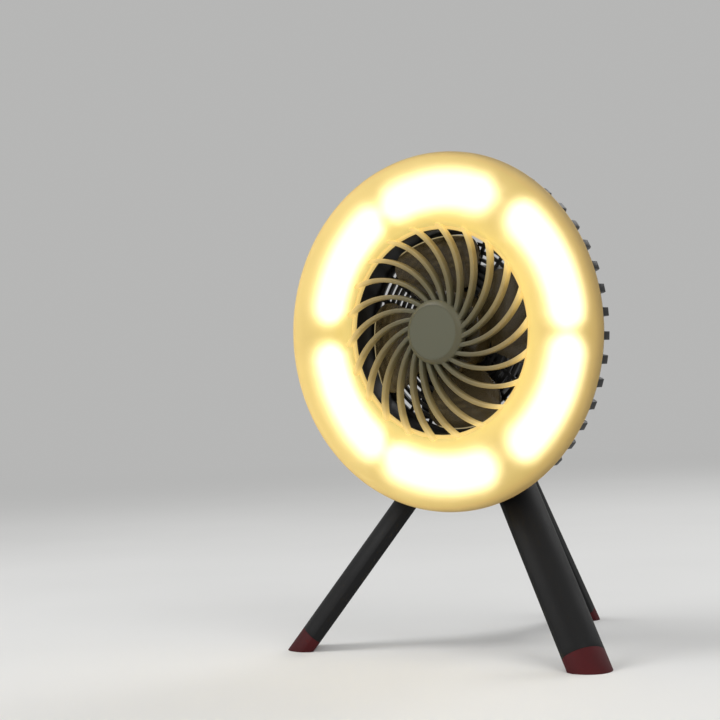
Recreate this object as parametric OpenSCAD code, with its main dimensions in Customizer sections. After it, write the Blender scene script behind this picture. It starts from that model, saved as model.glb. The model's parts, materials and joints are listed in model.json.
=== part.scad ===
// Portable camping fan: a four-bladed fan inside a half-round ring light, on a tilting yoke
// and three folding legs. Millimetres, +Z up, the fan blows towards -Y, floor at z = 0.
// Head pieces are drawn in the head's own frame: x to the right, y up, z = distance in front
// of the rim plane, so everything behind the rim has a negative z.

/* [Ring light] */
// Outer diameter of the ring light
ring_d = 200; // [190:1:215]
// Radius of the ring's half-round section
tube_r = 21; // [19:0.5:22]
// Wall of the diffuser
diffuser_wall = 1.8; // [1.2:0.1:2.4]
// Number of light segments
segment_count = 6; // [4:1:8]
// Angle between neighbouring segments
segment_gap = 6; // [4:0.5:9]
// Light chips on each segment
chips_per_segment = 7; // [4:1:8]
// Thickness of the tray behind the segments
tray_t = 2; // [1.4:0.1:2.4]

/* [Front grille] */
// Number of curved ribs
rib_count = 22; // [18:1:24]
// Face width of a rib
rib_w = 2.5; // [2:0.1:3.4]
// Depth of a rib along the air flow
rib_depth = 4.5; // [4:0.5:6.5]
// Height of the rib faces in front of the rim plane
rib_front = 9; // [8:0.5:10]
// Bend radius of a rib
rib_bend_r = 45.2; // [42:0.2:50]
// Wall of the ring that carries the ribs
frame_wall = 1.6; // [1.2:0.1:2.4]
// Diameter of the grille's centre boss
boss_d = 36; // [32:1:40]
// Height of the boss's face above the ribs
boss_rise = 2; // [1:0.5:3]
// Width of the bevel round the boss
boss_bevel = 3; // [2:0.5:4]

/* [Fan] */
// Number of blades
blade_count = 4; // [3:1:5]
// Gap between the blade tips and the duct
tip_gap = 2.6; // [1.8:0.1:4]
// Diameter of the fan's hub
fan_hub_d = 48; // [44:1:52]
// Thickness of a blade
blade_t = 1.8; // [1.4:0.1:2.4]
// Half of a blade's angle
blade_half_angle = 35; // [25:1:38]
// Diameter of the motor shaft
shaft_d = 3; // [2.5:0.1:4]

/* [Back] */
// Depth of the back cone behind the rim plane
back_depth = 15; // [14:0.5:17]
// Wall of the back shell
shell_wall = 2; // [1.6:0.1:2.4]
// Number of fin places round the back
fin_count = 48; // [36:1:54]
// Width of a fin
fin_w = 4.5; // [3:0.1:5]
// Depth of the fins' rear edges behind the rim plane
fin_depth = 12.7; // [11:0.1:13.5]
// Spokes of the intake guard
spoke_count = 24; // [12:1:30]

/* [Battery pod] */
// Width of the pod
pod_w = 54; // [52:1:58]
// Height of the pod
pod_h = 74; // [72:1:80]
// Depth of the pod
pod_depth = 28; // [27:0.5:32]
// Wall of the pod
pod_wall = 2; // [1.6:0.1:2.4]
// Room between a battery cell's end and the wall
cell_end_room = 2.5; // [1.5:0.1:3]
// Depth of the pod's rear cover
cover_depth = 7.4; // [7:0.1:8]
// Diameter of a push button
button_d = 11; // [9:0.5:12]
// Travel of a push button
button_travel = 1; // [0.6:0.1:1.2]

/* [Stand] */
// Distance from a leg's hinge pin to the floor, along the leg
leg_reach = 158.2; // [140:0.2:170]
// Angle of an open leg from the vertical
leg_spread = 37.7; // [34:0.1:40]
// Width of a leg
leg_w = 25; // [22:0.2:25.4]
// Thickness of a leg
leg_t = 12.6; // [11.6:0.1:12.8]
// Wall of a leg
leg_wall = 2.3; // [1.8:0.1:2.8]
// Length of a rubber foot along the leg
foot_l = 11.5; // [10:0.5:20]
// Distance of the tripod's axis behind the rim plane
stand_offset = 38; // [37.5:0.1:44]
// Diameter of a leg's hinge pin
leg_pin_d = 3; // [2.5:0.1:3.5]
// Distance of the hinge pins from the tripod's axis
hinge_r = 13; // [12.6:0.1:14]
// Diameter of a tilt pin
tilt_pin_d = 5; // [4:0.1:6]
// Thickness of the yoke's arms and base
yoke_t = 4.3; // [3.6:0.1:5]
// Height of the pod's centre above the tilt axis
pivot_drop = 8; // [6:0.5:10]

/* [Hanging loop] */
// Diameter of the loop's wire
wire_d = 3.6; // [3:0.1:4]
// Straight length of the loop's arms
loop_arm = 14; // [10:0.5:18]

/* [Hidden] */
$fn = 64;
eps = 0.01;

// Clearances
seat_gap = 0.1; // pieces that plug together
slip_gap = 0.3; // pieces that only pass each other
run_gap = 0.03; // shafts and pins in their bores

// Ring light
ring_r = ring_d / 2;
tube_c = ring_r - tube_r;
lip_a = 5.5; // height of the diffuser's inner edge
lip_r = tube_c - sqrt(pow(tube_r, 2) - pow(lip_a, 2));
spigot_t = 1.4;
spigot_r = ring_r - diffuser_wall - spigot_t + 0.2;
spigot_h = 2.5;
tray_r_in = lip_r + 0.3;
tray_r_out = spigot_r - slip_gap;
segment_r_in = tube_c - 11;
segment_r_out = tube_c + 11;
segment_t = 1.6;
segment_angle = 360 / segment_count - segment_gap;
chip = [3.5, 2.8, 0.8];

// Grille
frame_r = lip_r - 0.13;
open_r = frame_r - frame_wall;
frame_top = lip_a - 0.2;
frame_bottom = 3;
rib_gap = 0.15; // between the rib tips and the diffuser
rib_back = min(rib_front - rib_depth, frame_top - 1);
rib_tip_r = tube_c - sqrt(pow(tube_r, 2) - pow(rib_front, 2)) - rib_gap;
boss_r = boss_d / 2;
disc_r = boss_r - boss_bevel - seat_gap;
disc_t = 0.8;
// A rib runs from the boss to the frame and turns by this much on the way.
rib_turn = 48.4;
rib_tip_angle = 4.9; // where the first rib ends
rib_from = boss_r - 1;

// Fan
duct_r = open_r;
duct_out_r = tray_r_in - slip_gap;
fan_r = duct_r - tip_gap;
fan_hub_r = fan_hub_d / 2;
fan_hub_depth = 12;
fan_hub_wall = 1.5;
blade_front = -1.2;
blade_back = -12.2;
blade_sag = 3.5;
blade_corner = 11; // radius of a blade's corners
shaft_r = shaft_d / 2;
can_r = fan_hub_r - fan_hub_wall - 0.9;
can_wall = 1.2;
magnet_t = 1.8;
stator_r = can_r - can_wall - magnet_t - 0.6;
stator_back = -9.6;
stator_t = 4.4;
coil_t = 0.8; // thickness of a winding
coil_w = 2.4 + 2 * (coil_t + 0.05);
can_depth = 9.2;
motor_top = -4; // front end of the motor's tube
bearing_t = 2.6;
tube_in_r = 4.5;
tube_out_r = 5.6;

// Back
guard_t = 1.8;
guard_front = -back_depth + 0.8;
guard_back = guard_front - guard_t;
guard_r = duct_out_r + 0.9;
guard_rings = 3;
cone_r_in = guard_r + 0.2;
rim_r = ring_r - 0.6;
shoulder_r = ring_r - 2;
shoulder_a = -3.8;
cone_slope = (back_depth + shoulder_a) / (shoulder_r - cone_r_in);
fin_r_in = tube_c + 1;
fin_r_out = ring_r - 2.5;
fin_free_angle = 36; // the legs pass behind this much of the rim, either side of the bottom
screw_ring_r = tube_c - 4;
motor_seat_r = fan_hub_r + 0.3;
guard_step = (duct_r - 2.2 - motor_seat_r) / (guard_rings + 1);
motor_plate_t = 1.6;

// Pod
pod_front = guard_back;
pod_mid = pod_front - pod_depth / 2;
pod_back = pod_front - pod_depth;
pod_corner = 14;
gasket_t = 0.6;
cell_gap = 0.2;
cover_front = pod_back + cover_depth;
boss_in = 4; // depth of the pin bosses in the pod's sides
post_r = 3;
post_x = pod_w / 2 - pod_wall - post_r - cell_gap;
cell_l = pod_h - 2 * (pod_wall + cell_end_room);
cell_d = min(post_x - post_r - 2 * cell_gap, pod_front - cover_front - pod_wall - cell_gap);
cell_x = cell_d / 2 + cell_gap;
cell_a = pod_front - pod_wall - cell_gap / 2 - cell_d / 2;
cap_h = 0.8; // contact on a cell's end
board_t = 1.6;
board_back = pod_back + 5;
board_size = [2 * (post_x - post_r - 0.8), pod_h - 10];
stay_x = board_size.x / 2 - 5;
stay_y = board_size.y / 2 - 3;
pod_screw_r = 1.1;
pod_screw_l = 16;
post_ys = [0.19 * pod_h, -0.35 * pod_h];
holder_y = cell_l / 2 - 6; // middle of a cell holder
holder_h = 6;
button_r = button_d / 2;
fan_button_y = 15;
light_button_y = -1;
button_proud = 1.3;
lens_y = 27;
lens_size = [16, 3];
port_y = -21;
port_size = [9.2, 3.4];
flap_size = [16, 8.5, 1.6];
flap_hinge_y = port_y + flap_size.y / 2 + 1.2;
flap_hinge_a = pod_back - 1.2;
flap_pin_r = 0.8;

// Stand
leg_arc_r = 14; // radius of a leg's outside
leg_betas = [-30, 210, 90]; // right, left and rear
hinge_z = leg_reach * cos(leg_spread);
barrel_r = 4.5;
tongue_w = 8.8;
hub_top = hinge_z + barrel_r + 0.8;
hub_h = 17;
hub_bottom = hub_top - hub_h;
hub_r = hinge_r + barrel_r + 0.7;
core_r = hinge_r - barrel_r - slip_gap;
base_top = hub_top + yoke_t;
pivot_z = base_top + norm([pod_depth / 2, pod_h / 2 - pivot_drop]) + 4.3;
head_z = pivot_z + pivot_drop;
foot_s = hinge_r + hinge_z * tan(leg_spread);
rear_reach = foot_s + leg_t / 2 / cos(leg_spread);
front_reach = max((foot_s + (leg_t / 2 - leg_arc_r) / cos(leg_spread)) / 2
    + leg_arc_r * norm([0.5 / cos(leg_spread), sin(60)]), stand_offset + tube_r);
tripod_y = (front_reach - rear_reach) / 2;
rim_y = tripod_y - stand_offset;
pivot_y = rim_y - pod_mid;
washer_t = 1; // tilt washer between the pod and the yoke
arm_x = pod_w / 2 + slip_gap + washer_t;
pin_head_h = 2;
arm_r = 6;
tilt_pin_r = tilt_pin_d / 2;
leg_pin_r = leg_pin_d / 2;
leg_pin_l = tongue_w + 10;
bolt_r = 2.5;
leg_top = 13.4;
leg_bevel = 1.4;
leg_end = leg_reach - foot_l;
core_l = foot_l - leg_t / 2 * tan(leg_spread) - 2;
rib_pitch = (leg_end - leg_top - 14.2) / 5;

// Loop
loop_y = 26;
loop_r = pod_w / 2 + 2.6;
loop_lean = 10;
wire_r = wire_d / 2;

module head() {
    translate([0, rim_y, head_z]) rotate([90, 0, 0]) children();
}

module ring(r_in, r_out, from, to) {
    translate([0, 0, from]) difference() {
        cylinder(r = r_out, h = to - from);
        translate([0, 0, -1]) cylinder(r = r_in, h = to - from + 2);
    }
}

module round_rect(w, h, r) {
    square([w - 2 * r, h], center = true);
    square([w, h - 2 * r], center = true);
    for (sx = [-1, 1], sy = [-1, 1]) translate([sx * (w / 2 - r), sy * (h / 2 - r)]) circle(r);
}

module pie(r, half_angle) {
    polygon([[0, 0], for (i = [-4:4]) r * 1.3 * [cos(i * half_angle / 4), sin(i * half_angle / 4)]]);
}

// ---- Ring light ----

module light_diffuser() {
    color("lemonchiffon") head() rotate_extrude($fn = 96) {
        difference() {
            translate([tube_c, 0]) circle(tube_r);
            translate([tube_c, 0]) circle(tube_r - diffuser_wall);
            translate([0, -ring_d]) square([ring_d, ring_d]);
            translate([0, -1]) square([tube_c, lip_a + 1]);
        }
        translate([spigot_r, -spigot_h]) square([spigot_t, spigot_h + 3]);
    }
}

module light_tray() {
    color("white") head() difference() {
        union() {
            ring(tray_r_in, tray_r_out, -tray_t, 0);
            ring(tray_r_in, tray_r_in + 1.5, -tray_t, lip_a);
            for (k = [0:segment_count - 1]) rotate(k * 360 / segment_count)
                translate([screw_ring_r, 0, -1]) cylinder(r = 3, h = 4);
        }
        for (k = [0:segment_count - 1]) rotate(k * 360 / segment_count)
            translate([screw_ring_r, 0, -10]) cylinder(r = 1.5 + seat_gap, h = 12);
    }
}

module light_segments() {
    color("whitesmoke") head() for (k = [0:segment_count - 1])
        rotate((k + 0.5) * 360 / segment_count) linear_extrude(segment_t) intersection() {
            difference() {
                circle(segment_r_out);
                circle(segment_r_in);
            }
            pie(ring_r, segment_angle / 2);
        }
}

module light_chips() {
    step = (segment_angle - 6) / (chips_per_segment - 1);
    color("gold") head() for (k = [0:segment_count - 1], j = [0:chips_per_segment - 1])
        rotate((k + 0.5) * 360 / segment_count + (j - (chips_per_segment - 1) / 2) * step)
            translate([tube_c - chip.x / 2, -chip.y / 2, segment_t]) cube(chip);
}

// ---- Front grille ----

// One rib in plan: an arc band whose ends lie on the boss and on the frame.
module rib_plan() {
    inner = rib_from * [cos(rib_tip_angle - rib_turn), sin(rib_tip_angle - rib_turn)];
    outer = rib_tip_r * [cos(rib_tip_angle), sin(rib_tip_angle)];
    mid = (inner + outer) / 2;
    chord = outer - inner;
    along = chord / norm(chord);
    across = [along.y, -along.x];
    centre = mid - across * sqrt(pow(rib_bend_r, 2) - pow(norm(chord) / 2, 2));
    intersection() {
        difference() {
            translate(centre) circle(rib_bend_r + rib_w / 2, $fn = 96);
            translate(centre) circle(rib_bend_r - rib_w / 2, $fn = 96);
        }
        difference() {
            circle(rib_tip_r);
            circle(rib_from);
        }
        translate(mid) rotate(atan2(along.y, along.x))
            translate([-ring_r / 2, -ring_r]) square([ring_r, ring_r + 1]);
    }
}

module front_grille() {
    face = rib_front + boss_rise;
    color("ivory") head() {
        difference() {
            union() {
                difference() {
                    translate([0, 0, rib_back]) linear_extrude(rib_front - rib_back)
                        for (k = [0:rib_count - 1]) rotate(k * 360 / rib_count) rib_plan();
                    rotate_extrude() translate([tube_c, 0]) circle(tube_r + rib_gap);
                }
                ring(open_r, frame_r, frame_bottom, frame_top);
                translate([0, 0, rib_back]) cylinder(r = boss_r, h = rib_front - rib_back);
                translate([0, 0, rib_front]) cylinder(r1 = boss_r, r2 = boss_r - boss_bevel, h = boss_rise);
            }
            translate([0, 0, face - disc_t]) cylinder(r = disc_r + seat_gap, h = 2);
        }
    }
}

module centre_disc() {
    color("ivory") head() translate([0, 0, rib_front + boss_rise - disc_t]) cylinder(r = disc_r, h = disc_t);
}

// ---- Back ----

module fin() {
    // Depth of the cone's outside at a radius, measured behind the rim plane
    function cone_a(r) = shoulder_a - (shoulder_r - r) * cone_slope;
    rotate([90, 0, 0]) translate([0, 0, -fin_w / 2]) linear_extrude(fin_w)
        polygon([[fin_r_in, cone_a(fin_r_in) + 1], [fin_r_out, shoulder_a + 0.6],
            [fin_r_out, -fin_depth + 1.6], [fin_r_out - 1.6, -fin_depth], [fin_r_in + 4, -fin_depth],
            [fin_r_in, -fin_depth + 2]]);
}

module rear_housing() {
    bore_a = -back_depth - 1;
    spot_a = shoulder_a - (shoulder_r - screw_ring_r) * cone_slope + 1;
    rest_a = pod_mid + sin(loop_lean) * (loop_arm + loop_r) + wire_r / cos(loop_lean) + slip_gap;
    rest_y = loop_y + cos(loop_lean) * (loop_arm + loop_r);
    color("dimgray") head() difference() {
        union() {
            rotate_extrude($fn = 96) {
                // Outer shell
                polygon([[rim_r, 0], [rim_r, -1.5], [shoulder_r, shoulder_a], [cone_r_in, -back_depth],
                    [cone_r_in, -back_depth + shell_wall], [shoulder_r - 1.5, shoulder_a + shell_wall - 0.4],
                    [spigot_r - 1, -spigot_h - slip_gap], [ring_r - diffuser_wall + 0.35, -spigot_h - slip_gap],
                    [ring_r - diffuser_wall + 0.35, 0]]);
                // Duct round the fan
                translate([duct_r, guard_front]) square([duct_out_r - duct_r, frame_bottom - slip_gap - guard_front]);
                translate([duct_r, guard_front]) square([cone_r_in + 1 - duct_r, shell_wall]);
                // Seats under the light tray
                translate([tray_r_in + 2, -back_depth + shell_wall - 0.8]) square([2, back_depth - shell_wall + 0.8 - tray_t]);
                translate([tray_r_out - 2.5, shoulder_a + 0.5]) square([2, -tray_t - shoulder_a - 0.5]);
            }
            for (k = [0:fin_count - 1]) {
                angle = (k + 0.5) * 360 / fin_count;
                if (abs(angle - 270) > fin_free_angle) rotate(angle) fin();
            }
            for (k = [0:segment_count - 1]) rotate(k * 360 / segment_count)
                translate([screw_ring_r, 0, spot_a]) cylinder(r = 4, h = -tray_t - spot_a);
            // Two pads that the stowed hanging loop leans on
            for (s = [-1, 1]) translate([s * 9, rest_y, 0]) translate([0, 0, rest_a])
                cylinder(r = 3, h = -10 - rest_a);
        }
        for (k = [0:segment_count - 1]) rotate(k * 360 / segment_count) translate([screw_ring_r, 0, 0]) {
            translate([0, 0, -back_depth]) cylinder(r = 1.5 + seat_gap, h = back_depth);
            translate([0, 0, bore_a - 10]) cylinder(r = 3.2, h = spot_a - bore_a + 10);
        }
    }
}

module intake_guard() {
    color("dimgray") head() difference() {
        union() {
            ring(duct_r - 2.2, guard_r, guard_back, guard_front);
            for (k = [1:guard_rings]) ring(motor_seat_r + k * guard_step - 1, motor_seat_r + k * guard_step + 1, guard_back, guard_front);
            translate([0, 0, guard_back]) cylinder(r = motor_seat_r, h = guard_t);
            translate([0, 0, guard_back]) linear_extrude(guard_t)
                for (k = [0:spoke_count - 1]) rotate((k + 0.5) * 360 / spoke_count)
                    translate([motor_seat_r - 1, -1]) square([duct_r - motor_seat_r, 2]);
        }
        translate([0, 0, guard_back - 1]) cylinder(r = shaft_r + 1, h = guard_t + 2);
    }
}

module housing_screws() {
    head_top = shoulder_a - (shoulder_r - screw_ring_r) * cone_slope + 1;
    color("silver") head() for (k = [0:segment_count - 1]) rotate(k * 360 / segment_count)
        translate([screw_ring_r, 0, 0]) difference() {
            union() {
                translate([0, 0, head_top - 2]) cylinder(r = 2.8, h = 2);
                translate([0, 0, head_top - 1]) cylinder(r = 1.5, h = 2.5 - head_top);
            }
            translate([0, 0, head_top - 2.5]) cylinder(r = 1.4, h = 1.3, $fn = 6);
        }
}

// ---- Motor and fan ----

module motor_base() {
    color("black") head() difference() {
        union() {
            translate([0, 0, guard_front]) cylinder(r = motor_seat_r - 1.5, h = motor_plate_t);
            translate([0, 0, guard_front]) cylinder(r = tube_out_r, h = motor_top - guard_front);
        }
        translate([0, 0, guard_front - 1]) cylinder(r = tube_in_r, h = -guard_front + 1);
    }
}

module motor_bearings() {
    color("silver") head() for (from = [guard_front + 1, motor_top - bearing_t])
        ring(shaft_r + run_gap, tube_in_r - 0.02, from, from + bearing_t);
}

module motor_shaft() {
    color("silver") head() translate([0, 0, guard_front + 0.4]) cylinder(r = shaft_r, h = -guard_front - 0.4 + 1.2);
}

module stator_core() {
    color("slategray") head() translate([0, 0, stator_back]) linear_extrude(stator_t) difference() {
        union() {
            circle(tube_out_r + 3);
            for (k = [0:8]) rotate(k * 40) {
                translate([tube_out_r, -1.2]) square([stator_r - tube_out_r - 0.8, 2.4]);
                intersection() {
                    difference() {
                        circle(stator_r);
                        circle(stator_r - 1.6);
                    }
                    pie(stator_r, 16);
                }
            }
        }
        circle(tube_out_r + 0.05);
    }
}

module stator_coils() {
    from = tube_out_r + 3.3;
    length = stator_r - 1.9 - from;
    color("chocolate") head() for (k = [0:8]) rotate(k * 40) translate([from, -coil_w / 2, stator_back - coil_t]) difference() {
        cube([length, coil_w, stator_t + 2 * coil_t]);
        translate([-1, coil_t, coil_t - 0.05]) cube([length + 2, coil_w - 2 * coil_t, stator_t + 0.1]);
    }
}

module rotor_can() {
    top = -fan_hub_wall - 0.3;
    color("gray") head() difference() {
        translate([0, 0, top - can_depth]) cylinder(r = can_r, h = can_depth);
        translate([0, 0, top - can_depth - 1]) cylinder(r = can_r - can_wall, h = can_depth + 1 - can_wall);
        translate([0, 0, top - 5]) cylinder(r = shaft_r + 0.02, h = 10);
    }
}

module rotor_magnet() {
    outer = can_r - can_wall - 0.05;
    color("black") head() ring(outer - magnet_t, outer, stator_back - coil_t, stator_back + stator_t + 1.2);
}

// Outline of one blade, centred on the x axis: a sector with round corners.
module blade_plan() {
    half = blade_half_angle;
    corner_r = fan_r - blade_corner;
    lean = asin(blade_corner / corner_r);
    corner_c = corner_r * [cos(half - lean), sin(half - lean)];
    root = (fan_hub_r - 3) * [1, tan(half - 3)];
    corner = [for (a = [half + 90:-10:half - lean]) corner_c + blade_corner * [cos(a), sin(a)]];
    tip = [for (a = [half - lean:-3:0]) fan_r * [cos(a), sin(a)]];
    upper = concat([root], corner, tip);
    polygon(concat(upper, [for (i = [len(upper) - 1:-1:0]) [upper[i].x, -upper[i].y]]));
}

// A blade is a cambered plate: a slice of a hollow cylinder that lies along the blade.
module blade() {
    half_chord = fan_r * sin(blade_half_angle);
    rise = blade_front - blade_back - blade_t;
    chord = norm([2 * half_chord, rise]);
    bend_r = (pow(chord / 2, 2) + pow(blade_sag, 2)) / (2 * blade_sag);
    up = [-rise, 2 * half_chord] / chord;
    centre = [0, (blade_front + blade_back) / 2] + (bend_r - blade_sag) * up;
    intersection() {
        translate([0, 0, blade_back]) linear_extrude(blade_front - blade_back) blade_plan();
        translate([0, centre.x, centre.y]) rotate([0, 90, 0]) difference() {
            cylinder(r = bend_r + blade_t / 2, h = ring_r, $fn = 128);
            translate([0, 0, -1]) cylinder(r = bend_r - blade_t / 2, h = ring_r + 2, $fn = 128);
        }
    }
}

module impeller() {
    color("gainsboro") head() difference() {
        union() {
            translate([0, 0, -fan_hub_depth]) cylinder(r = fan_hub_r, h = fan_hub_depth);
            for (k = [0:blade_count - 1]) rotate(10 + k * 360 / blade_count) blade();
        }
        translate([0, 0, -fan_hub_depth - 1]) cylinder(r = fan_hub_r - fan_hub_wall, h = fan_hub_depth + 1 - fan_hub_wall);
        translate([0, 0, -5]) cylinder(r = shaft_r + 0.02, h = 10);
    }
}

module shaft_nut() {
    color("silver") head() difference() {
        cylinder(r = 3.4, h = 2, $fn = 6);
        translate([0, 0, -1]) cylinder(r = shaft_r + 0.02, h = 4);
    }
}

// ---- Battery pod ----

module at_posts() {
    for (s = [-1, 1], y = post_ys) translate([s * post_x, y, 0]) children();
}

module pod_body() {
    cup_h = pod_front - cover_front - gasket_t;
    color("dimgray") head() difference() {
        union() {
            difference() {
                translate([0, 0, pod_front - cup_h]) linear_extrude(cup_h) round_rect(pod_w, pod_h, pod_corner);
                translate([0, 0, pod_front - cup_h - 1]) linear_extrude(cup_h + 1 - pod_wall)
                    round_rect(pod_w - 2 * pod_wall, pod_h - 2 * pod_wall, pod_corner - pod_wall);
            }
            at_posts() translate([0, 0, pod_front - cup_h]) cylinder(r = post_r, h = cup_h - 1);
            for (s = [-1, 1]) {
                translate([s * (pod_w / 2 - 1), -pivot_drop, pod_mid]) rotate([0, -s * 90, 0]) cylinder(r = 5.5, h = boss_in);
                translate([s * (pod_w / 2 - 1), loop_y, pod_mid]) rotate([0, -s * 90, 0]) cylinder(r = 4, h = boss_in);
            }
        }
        at_posts() translate([0, 0, pod_front - cup_h - 1]) cylinder(r = pod_screw_r + seat_gap, h = pod_screw_l - cover_depth + 3);
        translate([-pod_w, -pivot_drop, pod_mid]) rotate([0, 90, 0]) cylinder(r = tilt_pin_r + run_gap, h = 2 * pod_w);
        translate([-pod_w, loop_y, pod_mid]) rotate([0, 90, 0]) cylinder(r = wire_r + run_gap, h = 2 * pod_w);
    }
}

module pod_gasket() {
    color("black") head() translate([0, 0, cover_front]) linear_extrude(gasket_t) difference() {
        round_rect(pod_w - 1, pod_h - 1, pod_corner - 0.5);
        round_rect(pod_w - 2 * pod_wall, pod_h - 2 * pod_wall, pod_corner - pod_wall);
    }
}

module pod_cover() {
    h = cover_front - pod_back;
    color("dimgray") head() difference() {
        union() {
            difference() {
                translate([0, 0, pod_back]) linear_extrude(h) round_rect(pod_w, pod_h, pod_corner);
                translate([0, 0, pod_back + pod_wall]) linear_extrude(h)
                    round_rect(pod_w - 2 * pod_wall, pod_h - 2 * pod_wall, pod_corner - pod_wall);
            }
            at_posts() translate([0, 0, pod_back + 1]) cylinder(r = post_r, h = h - 1);
            for (s = [-1, 1], t = [-1, 1]) translate([s * stay_x, t * stay_y, pod_back + 1]) cylinder(r = 2, h = board_back - pod_back - 1);
            for (s = [-1, 1]) translate([s * (flap_size.x / 2 + 1.3) - 1, flap_hinge_y - 1.3, flap_hinge_a - 1.3])
                cube([2, 2.6, pod_back + 1 - flap_hinge_a + 1.3]);
        }
        at_posts() {
            translate([0, 0, pod_back - 1]) cylinder(r = pod_screw_r + seat_gap, h = h + 2);
            translate([0, 0, pod_back - 1]) cylinder(r = 2.3, h = 2.2);
        }
        for (y = [fan_button_y, light_button_y]) translate([0, y, pod_back - 1]) cylinder(r = button_r + slip_gap, h = pod_wall + 2);
        translate([0, lens_y, pod_back - 1]) linear_extrude(pod_wall + 2) square(lens_size + 2 * [seat_gap, seat_gap], center = true);
        translate([0, port_y, pod_back - 1]) linear_extrude(pod_wall + 2) round_rect(port_size.x + 0.4, port_size.y + 0.4, 1.6);
        translate([-pod_w, flap_hinge_y, flap_hinge_a]) rotate([0, 90, 0]) cylinder(r = flap_pin_r + run_gap, h = 2 * pod_w);
    }
}

module pod_screws() {
    color("silver") head() at_posts() difference() {
        union() {
            translate([0, 0, pod_back - 0.4]) cylinder(r = 2.1, h = 1.6);
            translate([0, 0, pod_back]) cylinder(r = pod_screw_r, h = pod_screw_l);
        }
        translate([0, 0, pod_back - 1]) cylinder(r = 1, h = 1.4, $fn = 6);
    }
}

module battery_cells() {
    color("royalblue") head() for (s = [-1, 1]) translate([s * cell_x, cell_l / 2, cell_a]) rotate([90, 0, 0]) {
        cylinder(r = cell_d / 2, h = cell_l);
        translate([0, 0, -cap_h]) cylinder(r = 3, h = cap_h + 0.2);
    }
}

module cell_holder() {
    color("black") head() for (s = [-1, 1]) difference() {
        translate([-cell_d, s * holder_y - holder_h / 2, cell_a]) cube([2 * cell_d, holder_h, cell_d / 2 + cell_gap / 2]);
        for (t = [-1, 1]) translate([t * cell_x, cell_l, cell_a]) rotate([90, 0, 0]) cylinder(r = cell_d / 2 + seat_gap, h = 2 * cell_l);
    }
}

module control_board() {
    color("darkgreen") head() translate([0, 0, board_back]) linear_extrude(board_t) round_rect(board_size.x, board_size.y, 2);
}

module push_switches() {
    color("silver") head() for (y = [fan_button_y, light_button_y]) {
        translate([-3, y - 3, board_back - 0.5]) cube([6, 6, 0.5]);
        translate([0, y, board_back - 0.8]) cylinder(r = 1.6, h = 0.4);
    }
}

module charge_socket() {
    color("silver") head() translate([0, port_y, board_back]) mirror([0, 0, 1]) difference() {
        linear_extrude(board_back - pod_back - 0.4) round_rect(port_size.x - 0.2, port_size.y - 0.2, 1.5);
        translate([0, 0, 1]) linear_extrude(10) difference() {
            round_rect(port_size.x - 1, port_size.y - 1, 1.1);
            square([6.4, 0.7], center = true);
        }
    }
}

module indicator_lens() {
    color("lightgreen") head() {
        translate([0, lens_y, pod_back]) linear_extrude(pod_wall + 0.2) square(lens_size, center = true);
        translate([0, lens_y, pod_back + pod_wall]) linear_extrude(0.8) square(lens_size + [2, 1.6], center = true);
    }
}

module button(y) {
    flange_top = pod_back + pod_wall + slip_gap;
    head() translate([0, y, 0]) {
        translate([0, 0, pod_back - button_proud]) cylinder(r = button_r, h = pod_wall + button_proud + slip_gap + 0.2);
        translate([0, 0, flange_top]) cylinder(r = button_r + 1, h = 0.6);
        translate([0, 0, flange_top]) cylinder(r = 1.5, h = board_back - 0.8 - 0.15 - button_travel - flange_top);
    }
}

module fan_button() {
    color("firebrick") button(fan_button_y);
}

module light_button() {
    color("lightgray") button(light_button_y);
}

module port_flap() {
    color("black") head() {
        translate([-flap_size.x / 2, port_y - flap_size.y / 2, pod_back - slip_gap - flap_size.z])
            cube([flap_size.x, flap_size.y + 1.2, flap_size.z]);
        translate([-flap_size.x / 2, flap_hinge_y, flap_hinge_a]) rotate([0, 90, 0]) cylinder(r = 1, h = flap_size.x);
        translate([-flap_size.x / 2 - 2.2, flap_hinge_y, flap_hinge_a]) rotate([0, 90, 0])
            cylinder(r = flap_pin_r, h = flap_size.x + 4.4);
    }
}

module hanging_loop() {
    inner_x = pod_w / 2 - boss_in;
    color("silver") head() translate([0, loop_y, pod_mid]) rotate([loop_lean, 0, 0]) {
        for (s = [-1, 1]) {
            translate([s * loop_r, 0, 0]) rotate([-90, 0, 0]) cylinder(r = wire_r, h = loop_arm);
            translate([s * inner_x, 0, 0]) rotate([0, s * 90, 0]) cylinder(r = wire_r, h = loop_r - inner_x);
            translate([s * loop_r, 0, 0]) sphere(wire_r);
        }
        translate([0, loop_arm, 0]) rotate_extrude(angle = 180) translate([loop_r, 0]) circle(wire_r);
    }
}

// ---- Stand ----

module at_pivot() {
    translate([0, pivot_y, pivot_z]) children();
}

module yoke() {
    plate_y = pivot_y - arm_r;
    color("dimgray") difference() {
        union() {
            translate([0, tripod_y, hub_top]) cylinder(r = hub_r, h = yoke_t);
            translate([-arm_x - yoke_t, plate_y, hub_top]) cube([2 * (arm_x + yoke_t), 2 * arm_r, yoke_t]);
            for (s = [-1, 1]) {
                translate([s * (arm_x + yoke_t / 2) - yoke_t / 2, plate_y, hub_top]) cube([yoke_t, 2 * arm_r, pivot_z - hub_top]);
                at_pivot() translate([s * arm_x, 0, 0]) rotate([0, s * 90, 0]) cylinder(r = arm_r, h = yoke_t);
            }
        }
        at_pivot() translate([-pod_w, 0, 0]) rotate([0, 90, 0]) cylinder(r = tilt_pin_r + 0.02, h = 2 * pod_w);
        translate([0, tripod_y, hub_top - 1]) cylinder(r = bolt_r + 0.05, h = yoke_t + 2);
    }
}

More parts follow.
